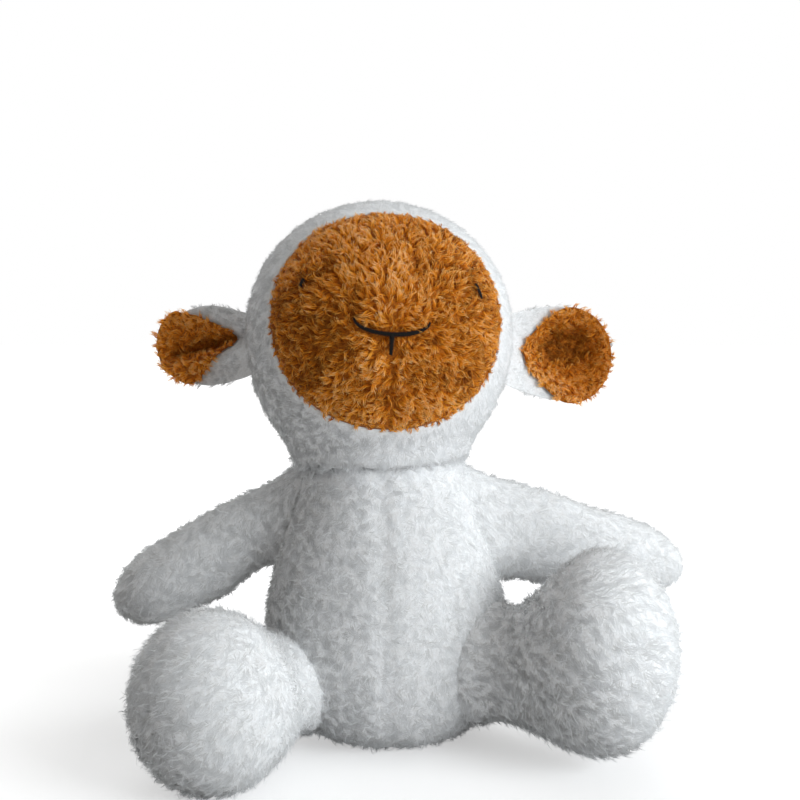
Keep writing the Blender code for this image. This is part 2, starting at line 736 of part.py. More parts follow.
def build_legs(body_pivot, body_grown):
    """Two legs, each sewn to the front of the seat, with a tall foot that the stuffing rounds out."""
    ground = make_ground()
    for side in SIDES:
        seat, outward = body_seat(LEG_SEAM_HEIGHT[side], math.radians(LEG_SEAM_ROUND_DEG[side]))
        hinge = seat + outward * SWING_GAP
        axis = Vector((outward.x, outward.y, 0.0)).normalized().cross(UP)
        pivot = new_pivot(f"leg_{side}_pivot", hinge, body_pivot, LEG_SWING_DEG)
        heading = math.radians(LEG_HEADING_DEG[side])
        along = Vector((math.cos(heading), math.sin(heading), 0.0))
        across = along.cross(UP)
        foot_height = FOOT_HEIGHT[side]
        foot_middle = foot_height / 2.0 + FOOT_LIFT[side] - SOLE_CUT_DEPTH

        root_middle = LEG_ROOT_MIDDLE[side]

        def course_at(place):
            rise = root_middle + (foot_middle - root_middle) * ease(place / FOOT_WIDEST_AT)
            return Vector((hinge.x, hinge.y, rise)) + along * place, UP

        def form(name, inset, coarser):
            root = (LEG_ROOT_WIDTH, LEG_ROOT_HEIGHT[side])
            widest = (FOOT_WIDTH, foot_height)
            stations = limb_profile(LEG_LENGTH, LEG_SINK, root, widest, FOOT_WIDEST_AT, inset)
            return make_limb(name, stations, LIMB_COLUMNS // coarser, across, course_at)

        build_stuffed(f"leg_{side}", form, pivot, axis, LEG_SWING_DEG, body_grown, ground)
    drop(ground)


def build_tail(body_pivot, body_grown):
    """A short stuffed tail at the back."""
    seat, outward = body_seat(TAIL_SEAM_HEIGHT, math.pi / 2.0)
    hinge = seat + outward * SWING_GAP
    pivot = new_pivot("tail_pivot", hinge, body_pivot, TAIL_SWING_DEG)
    droop = math.radians(TAIL_DROOP_DEG)
    along = Vector((0.0, math.cos(droop), -math.sin(droop)))
    across = along.cross(UP).normalized()
    upward = across.cross(along)
    axis = outward.cross(UP).normalized()

    def course_at(place):
        return hinge + along * place, upward

    def form(name, inset, coarser):
        root = (TAIL_ROOT_WIDTH, TAIL_ROOT_WIDTH)
        widest = (TAIL_WIDTH, TAIL_WIDTH)
        stations = limb_profile(TAIL_LENGTH, TAIL_SINK, root, widest, TAIL_WIDEST_AT, inset)
        return make_limb(name, stations, TAIL_COLUMNS // coarser, across, course_at)

    build_stuffed("tail", form, pivot, axis, TAIL_SWING_DEG, body_grown)


def main():
    clear_scene()
    body_pivot = new_pivot("body_pivot", ORIGIN)
    turn_pivot = new_pivot("neck_turn_pivot", neck_pivot(), body_pivot, NECK_TURN_DEG)
    nod_pivot = new_pivot("neck_nod_pivot", neck_pivot(), turn_pivot, NECK_NOD_DEG)
    build_body(body_pivot)
    build_neck(turn_pivot)
    build_head(nod_pivot)
    grown_head = make_head_solid("grown_head", -SWING_GAP)
    build_ears(nod_pivot, grown_head)
    grown_body = make_body_solid("grown_body", -SWING_GAP)
    build_arms(body_pivot, grown_body)
    build_legs(body_pivot, grown_body)
    build_tail(body_pivot, grown_body)
    drop(grown_head, grown_body)


main()
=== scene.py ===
"""A seated plush sheep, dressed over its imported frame: stuffed skins, combed pile, satin-stitched face.

Metres, +Z up. The sheep faces -Y, and +X is its own left. Run as a script, it adds its operators and
panel, and calls the operators in order. Every skin is a closed surface on a grid of two parameters,
inset from the solid that it stands for, and the pile on it is thousands of narrow strands in clumps.
"""

import math

import bpy
import numpy as np
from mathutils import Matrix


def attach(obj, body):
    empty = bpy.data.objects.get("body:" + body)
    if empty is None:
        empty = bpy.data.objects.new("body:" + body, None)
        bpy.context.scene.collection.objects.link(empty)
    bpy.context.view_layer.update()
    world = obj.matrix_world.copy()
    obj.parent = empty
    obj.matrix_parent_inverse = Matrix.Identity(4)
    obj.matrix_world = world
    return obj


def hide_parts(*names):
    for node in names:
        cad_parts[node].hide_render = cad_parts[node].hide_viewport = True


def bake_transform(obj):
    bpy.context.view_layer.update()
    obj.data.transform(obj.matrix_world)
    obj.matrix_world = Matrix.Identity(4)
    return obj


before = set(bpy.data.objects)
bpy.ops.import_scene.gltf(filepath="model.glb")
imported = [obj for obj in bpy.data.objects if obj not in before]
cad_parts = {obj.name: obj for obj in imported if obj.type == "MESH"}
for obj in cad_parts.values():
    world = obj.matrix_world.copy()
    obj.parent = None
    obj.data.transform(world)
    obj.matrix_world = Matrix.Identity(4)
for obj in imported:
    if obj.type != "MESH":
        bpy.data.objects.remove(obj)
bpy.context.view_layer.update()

bl_info = {
    "name": "Plush sheep",
    "version": (1, 0, 0),
    "blender": (4, 5, 0),
    "location": "View3D > Sidebar > Plush sheep",
    "description": "Builds the skins, pile, embroidery and studio of a seated plush sheep",
    "category": "Object",
}

SIDES = {"right": -1.0, "left": 1.0}
UP = np.array([0.0, 0.0, 1.0])
BACK = np.array([0.0, 1.0, 0.0])
ACROSS = np.array([1.0, 0.0, 0.0])
BELLY_POWER = 2.5
EAR_EDGE_POWER = 4
FACE_POWER = 2.3
END_SHARE = 0.97
STEP = 1e-5

# How deep each layer lies inside its solid, whose outside is that of the pile
SKIN_INSET = 0.0017
CUTTER_INSET = 0.0026
STUFFING_INSET = 0.0034
FACE_INSET = 0.0016
UNDER_FACE = 0.0043

# Small clearances: over the floor, of a hinge outside its seat, and between the neck's ball and its hollow
FLOOR_CLEARANCE = 0.0004
HINGE_OUTSET = 0.0006
DOME_CLEARANCE = 0.0002
HOLLOW_CLEARANCE = 0.0004

# The head's turn to its left, its rise and its tilt, the face's further rise (a rise is negative), and the
# face's half angles
HEAD_TURN, HEAD_RAISE, HEAD_TILT = 6.2, -4.5, 3.0
FACE_RAISE = -5.0
FACE_HALF_WIDTH, FACE_HALF_HEIGHT = 56.0, 50.5

# The head's rim over the neck: the angle off the neck, how far it is drawn out, and how wide that is
RIM_ANGLE, RIM_OUT, RIM_WIDTH = 32.0, 0.0050, 0.008
HEAD_RADIUS = 0.075

# The smile and the eyes, in metres across and up the face
SMILE_HALF, SMILE_SAG, STEM_LENGTH = 0.01675, 0.0065, 0.0090
EYE_LENGTH, EYE_ACROSS, EYE_UP, EYE_SLANT = 0.0075, 0.040, 0.0165, 25.0

# Height that parts the body's pile, and the share of the way to the widest place that parts a limb's
BODY_PARTING = 0.065
LIMB_PARTING = 0.8
HEAD_PARTING = 0.012

# Facts of each limb and ear, sheep's right and left
EAR = {
    "right": dict(length=0.052, height=0.046, drop=0.0105, turned_back=24.0, seed=41),
    "left": dict(length=0.055, height=0.054, drop=0.0060, turned_back=3.0, seed=42),
}
# The outline of the right ear's lining: degrees round it, and how far it goes from its middle.
RIGHT_LINING = (
    (12, 30, 48, 57, 72, 113, 147, 168, 176, 187, 202, 218, 237, 254, 263, 275, 301, 327),
    (0.0203, 0.0202, 0.0200, 0.0196, 0.0160, 0.0130, 0.0165, 0.0215, 0.0210, 0.0155, 0.0131,
     0.0122, 0.0128, 0.0160, 0.0188, 0.0196, 0.0184, 0.0190),
)
ARM = {
    "right": dict(length=0.106, droop=30.0, back=14.0, deeper=0.0015, seed=51),
    "left": dict(length=0.115, droop=15.0, back=15.0, deeper=0.0050, seed=52),
}
ARM_SINK, LEG_SINK = 0.014, 0.024
LEG = {
    "right": dict(root_height=0.050, root_middle=0.033, foot_height=0.0835, lift=0.0,
                  seam_height=0.036, seam_round=-150.0, heading=-119.0, seed=61),
    "left": dict(root_height=0.055, root_middle=0.043, foot_height=0.0975, lift=0.009,
                 seam_height=0.041, seam_round=-27.0, heading=-27.5, seed=62),
}
TAIL = dict(seam_height=0.048, droop=28.0, root=0.014, widest_at=0.018, sink=0.010, seed=71)


def size(name, description, default):
    """A length that the user may change."""
    return bpy.props.FloatProperty(
        name=name, description=description, default=default, min=0.0, precision=4, unit="LENGTH"
    )


def share(name, description, default, top=1.0):
    """A plain number from 0 up."""
    return bpy.props.FloatProperty(
        name=name, description=description, default=default, min=0.0, max=top, subtype="FACTOR"
    )


def tint(name, description, default):
    """A colour that the user may change."""
    return bpy.props.FloatVectorProperty(
        name=name, description=description, default=default, size=3, min=0.0, max=1.0, subtype="COLOR"
    )


class SheepSizes(bpy.types.PropertyGroup):
    """Sizes of the stuffed forms, over the pile."""

    body_width: size("Body width", "Widest width of the body", 0.124)
    body_depth: size("Body depth", "Widest depth of the body", 0.106)
    widest_height: size("Widest height", "Height at which the body is widest", 0.050)
    body_lean: size("Lean", "How far the neck lies to the sheep's right of the seat", 0.004)
    seat_cut: size("Seat", "How deep the belly's curve is pressed flat by the seat", 0.004)
    neck_width: size("Neck width", "Width of the body at the neck seam", 0.082)
    neck_height: size("Neck height", "Height of the neck seam", 0.1385)
    neck_drop: size("Neck pivot", "How far the neck's pivot lies below the neck seam", 0.0335)
    head_width: size("Head width", "Width of the head", 0.135)
    head_depth: size("Head depth", "Depth of the head", 0.129)
    crown_height: size("Crown", "Height of the head over its middle", 0.0655)
    chin_height: size("Chin", "Depth of the chin under the head's middle", 0.077)
    head_rise: size("Head height", "Height of the head's middle over the neck seam", 0.065)
    head_shift: size("Head shift", "How far the head lies to the sheep's right", 0.0052)
    arm_width: size("Arm width", "Widest width of an arm", 0.0425)
    arm_root_height: size("Arm root height", "Height of an arm at the seam", 0.048)
    arm_root_depth: size("Arm root depth", "Depth of an arm at the seam", 0.026)
    arm_widest_at: size("Arm widest at", "Distance from the seam to the arm's widest place", 0.070)
    arm_seam_drop: size("Arm seam", "How far the arm's seam lies below the neck seam", 0.026)
    leg_length: size("Leg length", "Length of a leg from its seam", 0.085)
    leg_root_width: size("Leg root width", "Width of a leg at the seam", 0.050)
    foot_width: size("Foot width", "Widest width of a foot", 0.077)
    foot_widest_at: size("Foot widest at", "Distance from the seam to the foot's widest place", 0.049)
    sole_cut: size("Sole", "How deep the foot's curve is pressed flat by the ground", 0.002)
    tail_length: size("Tail length", "Length of the tail", 0.030)
    tail_width: size("Tail width", "Widest width of the tail", 0.021)


class SheepPile(bpy.types.PropertyGroup):
    """The lie and the colours of the pile and the thread."""

    white_length: size("White pile", "Length of the white strands", 0.0050)
    brown_length: size("Brown pile", "Length of the brown strands", 0.0057)
    strand_width: size("Strand width", "Width of a white strand", 0.00026)
    hair_width: size("Hair width", "Width of a brown strand", 0.00028)
    thickness: share("Thickness", "How thickly the strands stand", 1.0)
    white: tint("White", "White pile where the light falls on it", (0.87, 0.88, 0.89))
    # The white strands are drawn greyer at the root: painted shade down among the strands.
    white_root_shade: tint("White root", "White pile down at the backing", (0.79, 0.785, 0.775))
    gold: tint("Gold", "Tips of the palest brown hairs", (1.0, 0.82, 0.52))
    brown: tint("Brown", "Middle of the brown hairs", (0.98, 0.465, 0.05))
    brown_root: tint("Brown root", "Brown pile down at the backing", (0.50, 0.13, 0.004))
    thread: tint("Thread", "Embroidery of the eyes and the smile", (0.007, 0.005, 0.004))


class SheepStage(bpy.types.PropertyGroup):
    """The camera and the lamps."""

    distance: size("Camera distance", "Distance of the camera in front of the seat", 0.535)
    height: size("Camera height", "Height of the camera", 0.200)
    side: size("Camera side", "How far the camera stands to the sheep's left", 0.005)
    pitch: bpy.props.FloatProperty(
        name="Pitch", description="How far the camera looks down",
        default=math.radians(3.26), subtype="ANGLE",
    )
    key: bpy.props.FloatProperty(
        name="Key light", description="Power of the large lamp at the sheep's left",
        default=13.2, unit="POWER",
    )
    fill: share("Fill light", "Strength of the light from all round", 0.25, 2.0)


# Vectors and small fields


def unit(vectors):
    """Vectors over their lengths."""
    return vectors / np.maximum(np.linalg.norm(vectors, axis=-1, keepdims=True), 1e-12)


def dot(a, b):
    return (a * b).sum(axis=-1)


def ease(part):
    """Half a cosine wave: rises from 0 to 1 with level ends."""
    return 0.5 - 0.5 * np.cos(np.pi * np.clip(part, 0.0, 1.0))


def turning(axis, degrees):
    """A rotation matrix about an axis: identity cos a + (axis x) sin a + (axis axis) (1 - cos a)."""
    x, y, z = unit(np.asarray(axis, float))
    angle = math.radians(degrees)
    cross = np.array([[0.0, -z, y], [z, 0.0, -x], [-y, x, 0.0]])
    outer = np.outer((x, y, z), (x, y, z))
    return np.eye(3) * math.cos(angle) + cross * math.sin(angle) + outer * (1.0 - math.cos(angle))


def lumps(points, reach, seed):
    """A smooth field between -1 and 1: the mean of five sine waves in random directions, a reach long."""
    rng = np.random.default_rng(seed)
    ways = unit(rng.normal(size=(5, 3))) * 2.0 * np.pi / (reach * rng.uniform(0.7, 1.4, (5, 1)))
    return np.sin(points @ ways.T + rng.uniform(0.0, 6.28, 5)).mean(axis=-1) * 1.6


def bump(distance, reach):
    """A bell: 1 at no distance, falling as the exponential of minus the square."""
    return np.exp(-((distance / reach) ** 2))


# The forms: each mirrors a solid of the frame


def body_half_sizes(s, z, inset):
    """Half width and depth: a superellipse below the widest height, a quarter cosine above it."""
    half = np.array([s.body_width, s.body_depth]) / 2.0
    neck = s.neck_width / 2.0
    drop = np.clip((s.widest_height - z) / (s.widest_height + s.seat_cut - inset), 0.0, 1.0)
    belly = (1.0 - drop**BELLY_POWER) ** (1.0 / BELLY_POWER)
    rise = np.clip((z - s.widest_height) / (s.neck_height - s.widest_height), 0.0, 1.0)
    lower = (half - inset) * belly[..., None]
    upper = neck + (half - neck) * np.cos(np.pi / 2.0 * rise)[..., None] - inset
    return np.where((z < s.widest_height)[..., None], lower, upper)


def body_points(s, z, angle, inset):
    """Points on the side of the body: its middle line plus (half width cos a, half depth sin a)."""
    half = body_half_sizes(s, z, inset)
    x = half[..., 0] * np.cos(angle) - s.body_lean * z / s.neck_height
    return np.stack([x, half[..., 1] * np.sin(angle), z + 0.0 * angle], axis=-1)


def body_seat(s, height, angle):
    """A point on the body's side, and the outward direction there."""
    at = lambda h, a: body_points(s, np.array(h), np.array(a), 0.0)
    point = at(height, angle)
    up = at(height + STEP, angle) - point
    around = at(height, angle + STEP / s.body_width) - point
    return point, unit(np.cross(around, up))


def neck_pivot(s):
    return np.array([-s.body_lean, 0.0, s.neck_height - s.neck_drop])


def dome_radius(s):
    return math.hypot(s.neck_width / 2.0, s.neck_drop)


def inside_body(s, points, inset):
    """Whether points lie inside the body's side, inset by a depth."""
    z = np.clip(points[..., 2], 0.0, s.neck_height)
    half = np.maximum(body_half_sizes(s, z, inset), STEP)
    x = points[..., 0] + s.body_lean * z / s.neck_height
    away = (x / half[..., 0]) ** 2 + (points[..., 1] / half[..., 1]) ** 2
    return (away < 1.0) & (points[..., 2] < s.neck_height)


def body_gap(s, points):
    """How far points lie outside the body's side, measured level from its middle line."""
    z = np.clip(points[..., 2], 0.0, s.neck_height)
    half = np.maximum(body_half_sizes(s, z, 0.0), STEP)
    level = np.stack([points[..., 0] + s.body_lean * z / s.neck_height, points[..., 1]], axis=-1)
    scale = np.maximum(np.linalg.norm(level / half, axis=-1), 0.01)
    return np.linalg.norm(level, axis=-1) * (1.0 - 1.0 / scale)


def head_frame(s):
    """The head's own axes, as columns, and its middle."""
    turn = turning(UP, HEAD_TURN) @ turning(ACROSS, HEAD_RAISE) @ turning(BACK, HEAD_TILT)
    return turn, np.array([-s.head_shift, 0.0, s.neck_height + s.head_rise])


def egg_reach(s, ways, inset):
    """How far the egg goes from its middle: one over the length of the way measured in half sizes."""
    high = np.where(ways[..., 2] > 0.0, s.crown_height, s.chin_height) - inset
    wide = s.head_width / 2.0 - inset
    deep = s.head_depth / 2.0 - inset
    squares = (ways[..., 0] / wide) ** 2 + (ways[..., 1] / deep) ** 2 + (ways[..., 2] / high) ** 2
    return 1.0 / np.sqrt(squares)


def hollow_reach(s, ways, radius):
    """How far a way goes from the head's middle before it meets the ball that rides on the neck."""
    turn, middle = head_frame(s)
    ball = (neck_pivot(s) - middle) @ turn
    along = ways @ ball
    under = along**2 - ball @ ball + radius**2
    met = (under > 0.0) & (along > 0.0)
    return np.where(met, along - np.sqrt(np.maximum(under, 0.0)), 1.0)


def face_edge(angle):
    """The angle between the face's axis and its edge: a cone on a slightly squared oval."""
    wide = np.abs(np.cos(angle)) / math.tan(math.radians(FACE_HALF_WIDTH))
    high = np.abs(np.sin(angle)) / math.tan(math.radians(FACE_HALF_HEIGHT))
    return np.arctan((wide**FACE_POWER + high**FACE_POWER) ** (-1.0 / FACE_POWER))


def face_ways(off_axis, angle):
    """Directions in the head's frame at an angle off the face's axis and an angle round it."""
    ways = np.stack(
        [np.sin(off_axis) * np.cos(angle), -np.cos(off_axis), np.sin(off_axis) * np.sin(angle)], axis=-1
    )
    return ways @ turning(ACROSS, FACE_RAISE).T


def to_world(s, points):
    turn, middle = head_frame(s)
    return points @ turn.T + middle


def face_relief(right, up):
    """How far the stuffed face stands off the egg: a bell over the muzzle, less a bell's groove along
    the smile, one down the chin's seam, and a hollow in each cheek."""
    smile, _ = smile_path(40)
    gap, _ = gap_to(np.stack([right, up], axis=-1), smile)
    muzzle = bump(np.hypot(right / 0.024, (up - 0.006) / 0.019), 1.0)
    chin = bump(right, 0.0032) * ease((-0.006 - up) / 0.010)
    cheeks = bump(np.hypot(np.abs(right) - 0.025, up + 0.010), 0.009)
    return 0.0024 * muzzle - 0.0013 * bump(gap, 0.0030) - 0.0013 * chin - 0.0012 * cheeks


def face_points(s, right, up, stand):
    """Points over the face, from places across and up it, moved out along their own way."""
    high = np.where(up > 0.0, s.crown_height, s.chin_height)
    flat = (right / (s.head_width / 2.0)) ** 2 + (up / high) ** 2
    surface = np.stack([right, -s.head_depth / 2.0 * np.sqrt(1.0 - flat), up + 0.0 * right], axis=-1)
    return to_world(s, surface + unit(surface) * (face_relief(right, up) + stand)[..., None])


def smile_path(count):
    """The smile: half an ellipse that sags, from the sheep's right to its left, then its short stem."""
    turn = np.linspace(-np.pi / 2.0, np.pi / 2.0, count)
    smile = np.stack([SMILE_HALF * np.sin(turn), -SMILE_SAG * np.cos(turn)], axis=-1)
    fall = np.linspace(0.0, 1.0, count // 3)
    stem = np.stack([0.0 * fall, -SMILE_SAG - STEM_LENGTH * fall], axis=-1)
    return smile, stem


def eye_path(sign, count):
    """A short line that leans in at the top."""
    along = EYE_LENGTH * np.linspace(-0.5, 0.5, count)
    slant = math.radians(EYE_SLANT)
    right = sign * (EYE_ACROSS - along * math.sin(slant))
    return np.stack([right, EYE_UP + along * math.cos(slant)], axis=-1)


def gap_to(places, path):
    """The distance from places to the nearest point of a path, and the way away from it."""
    apart = places[..., None, :] - path
    far = np.linalg.norm(apart, axis=-1)
    near = far.argmin(axis=-1)
    gap = np.take_along_axis(far, near[..., None], axis=-1)[..., 0]
    way = np.take_along_axis(apart, near[..., None, None], axis=-2)[..., 0, :]
    return gap, unit(way)


class Limb:
    """A round form along a line: its half sizes ease from the root to the widest, then round off."""

    def __init__(
        self, base, along, across, root_up, end_up, root, widest, length, widest_at, sink, lift=None,
    ):
        self.base, self.along, self.across = base, along, across
        self.root_up, self.end_up = root_up, end_up
        self.root, self.widest = np.array(root), np.array(widest)
        self.length, self.widest_at, self.sink, self.lift = length, widest_at, sink, lift

    def course(self, place):
        """The middle of the limb at places along it, and its upward direction there."""
        part = ease(place / self.widest_at)[..., None]
        middle = self.base + place[..., None] * self.along
        if self.lift is not None:
            middle = middle + UP * (self.lift[0] + (self.lift[1] - self.lift[0]) * part)
        return middle, unit(self.root_up * (1.0 - part) + self.end_up * part)

    def half_sizes(self, place, inset):
        swell = ease(place / self.widest_at)[..., None]
        eased = self.root / 2.0 + (self.widest - self.root) / 2.0 * swell - inset
        over = (place - self.widest_at) / (self.length - inset - self.widest_at)
        round_off = np.sqrt(np.clip(1.0 - over**2, 0.0, 1.0))[..., None]
        return np.where((over > 0.0)[..., None], (self.widest / 2.0 - inset) * round_off, eased)

    def grid(self, inset, rows, columns):
        """Rings along the limb: middle + across half cos a + upward half sin a."""
        straight = np.linspace(-self.sink, self.widest_at, rows)[:-1]
        turn = np.linspace(0.0, 1.0, rows) ** 0.9 * math.pi / 2.0 * END_SHARE
        end = self.widest_at + (self.length - inset - self.widest_at) * np.sin(turn)
        place = np.concatenate([straight, end])
        angle = np.linspace(0.0, 2.0 * np.pi, columns, endpoint=False)
        middle, upward = self.course(place)
        half = self.half_sizes(place, inset)
        side = half[:, None, :1] * np.cos(angle)[None, :, None] * self.across
        rise = half[:, None, 1:] * np.sin(angle)[None, :, None] * upward[:, None, :]
        return middle[:, None, :] + side + rise, place, angle

    def holds(self, points, inset):
        """Whether points lie inside the limb, inset by a depth."""
        place = (points - self.base) @ self.along
        middle, upward = self.course(place)
        half = np.maximum(self.half_sizes(place, inset), STEP)
        away = points - middle
        out = (dot(away, self.across) / half[..., 0]) ** 2 + (dot(away, upward) / half[..., 1]) ** 2
        return (out < 1.0) & (place > -self.sink) & (place < self.length)


def arm_form(s, side):
    sign = SIDES[side]
    fact = ARM[side]
    seat, outward = body_seat(s, s.neck_height - s.arm_seam_drop, 0.0 if sign > 0.0 else math.pi)
    hinge = seat + outward * HINGE_OUTSET
    axis = unit(np.cross(outward, BACK))
    droop, back = math.radians(fact["droop"]), math.radians(fact["back"])
    level = math.cos(droop)
    along = np.array([sign * level * math.cos(back), level * math.sin(back), -math.sin(droop)])
    across = unit(np.cross(along, UP))
    return Limb(
        hinge - UP * fact["deeper"], along, across, axis * sign, np.cross(across, along),
        (s.arm_root_depth, s.arm_root_height + 2.0 * fact["deeper"]), (s.arm_width, s.arm_width),
        fact["length"], s.arm_widest_at, ARM_SINK,
    ), hinge


def leg_form(s, side):
    fact = LEG[side]
    seat, outward = body_seat(s, fact["seam_height"], math.radians(fact["seam_round"]))
    hinge = seat + outward * HINGE_OUTSET
    heading = math.radians(fact["heading"])
    along = np.array([math.cos(heading), math.sin(heading), 0.0])
    foot_middle = fact["foot_height"] / 2.0 + fact["lift"] - s.sole_cut
    return Limb(
        np.array([hinge[0], hinge[1], 0.0]), along, np.cross(along, UP), UP, UP,
        (s.leg_root_width, fact["root_height"]), (s.foot_width, fact["foot_height"]),
        s.leg_length, s.foot_widest_at, LEG_SINK, (fact["root_middle"], foot_middle),
    ), hinge


def tail_form(s):
    seat, outward = body_seat(s, TAIL["seam_height"], math.pi / 2.0)
    hinge = seat + outward * HINGE_OUTSET
    droop = math.radians(TAIL["droop"])
    along = np.array([0.0, math.cos(droop), -math.sin(droop)])
    across = unit(np.cross(along, UP))
    upward = np.cross(across, along)
    return Limb(
        hinge, along, across, upward, upward, (TAIL["root"], TAIL["root"]), (s.tail_width, s.tail_width),
        s.tail_length, TAIL["widest_at"], TAIL["sink"],
    ), hinge


# Meshes


def grid_normals(points, inward=False):
    """Normals of a grid whose rows are closed rings: the way along the rows crossed with the way round."""
    along = np.gradient(points, axis=0)
    round_ = np.roll(points, -1, axis=1) - np.roll(points, 1, axis=1)
    normals = unit(np.cross(round_, along))
    return -normals if inward else normals


def put_mesh(name, points, faces, uv=None, normals=None):
    """A mesh from whole arrays: points, lists of equal-sided faces, a map and normals at each point."""
    mesh = bpy.data.meshes.new(name)
    mesh.vertices.add(len(points))
    mesh.vertices.foreach_set("co", points.astype(np.float32).ravel())
    corners = np.concatenate([f.ravel() for f in faces]).astype(np.int32)
    counts = np.concatenate([np.full(len(f), f.shape[1]) for f in faces])
    starts = np.concatenate([[0], np.cumsum(counts)[:-1]]).astype(np.int32)
    mesh.loops.add(len(corners))
    mesh.loops.foreach_set("vertex_index", corners)
    mesh.polygons.add(len(counts))
    mesh.polygons.foreach_set("loop_start", starts)
    mesh.polygons.foreach_set("use_smooth", np.ones(len(counts), bool))
    mesh.update(calc_edges=True)
    if uv is not None:
        layer = mesh.uv_layers.new(name="OFBake")
        layer.uv.foreach_set("vector", uv.astype(np.float32)[corners].ravel())
    if normals is not None:
        held = mesh.attributes.new("custom_normal", "FLOAT_VECTOR", "POINT")
        held.data.foreach_set("vector", normals.astype(np.float32).ravel())
    obj = bpy.data.objects.new(name, mesh)
    bpy.context.scene.collection.objects.link(obj)
    return obj


def put_skin(name, points, outward):
    """A closed skin: quads between rings, and a fan from a middle point over each end."""
    rows, columns = points.shape[:2]
    index = np.arange(rows * columns).reshape(rows, columns)
    turned = np.roll(index, -1, axis=1)
    quads = np.stack([index[:-1], turned[:-1], turned[1:], index[1:]], axis=-1).reshape(-1, 4)
    first = np.full(columns, rows * columns)
    last = first + 1
    lower = np.stack([turned[0], index[0], first], axis=-1)
    upper = np.stack([index[-1], turned[-1], last], axis=-1)
    flat = points.reshape(-1, 3)
    ends = np.stack([points[0].mean(axis=0), points[-1].mean(axis=0)])
    if not outward:
        quads, lower, upper = quads[:, ::-1], lower[:, ::-1], upper[:, ::-1]
    return put_mesh(name, np.concatenate([flat, ends]), [quads, np.concatenate([lower, upper])])


def cut_by(obj, cutter):
    """Takes a cutter's form out of a piece, and keeps the result as its mesh."""
    modifier = obj.modifiers.new("cut", "BOOLEAN")
    modifier.operation = "DIFFERENCE"
    modifier.solver = "EXACT"
    modifier.object = cutter
    graph = bpy.context.evaluated_depsgraph_get()
    cut = bpy.data.meshes.new_from_object(obj.evaluated_get(graph))
    obj.modifiers.clear()
    obj.data = cut


# Pile


def roots_on(points, normals, fields, per_area, rng):
    """Roots spread evenly by area over a grid: each lies anywhere in its cell, blended from its corners."""
    ring = lambda a: np.concatenate([a, a[:, :1]], axis=1)
    points, normals = ring(points), ring(normals)
    fields = {key: ring(value) for key, value in fields.items()}
    one, two = points[1:, :-1] - points[:-1, :-1], points[:-1, 1:] - points[:-1, :-1]
    area = np.linalg.norm(np.cross(one, two), axis=-1)
    wanted = area * per_area * fields["thickness"][:-1, :-1]
    total = np.cumsum(wanted.ravel())
    count = int(total[-1])
    cell = np.searchsorted(total, np.arange(count) + rng.random(count))
    cell = np.minimum(cell, wanted.size - 1)
    row, column = np.divmod(cell, wanted.shape[1])
    down, over = rng.random(count), rng.random(count)

    def at(values):
        extra = (slice(None),) + (None,) * (values.ndim - 2)
        a, b = down[extra], over[extra]
        near = values[row, column] * (1.0 - b) + values[row, column + 1] * b
        far = values[row + 1, column] * (1.0 - b) + values[row + 1, column + 1] * b
        return near * (1.0 - a) + far * a

    return at(points), unit(at(normals)), {key: at(value) for key, value in fields.items()}


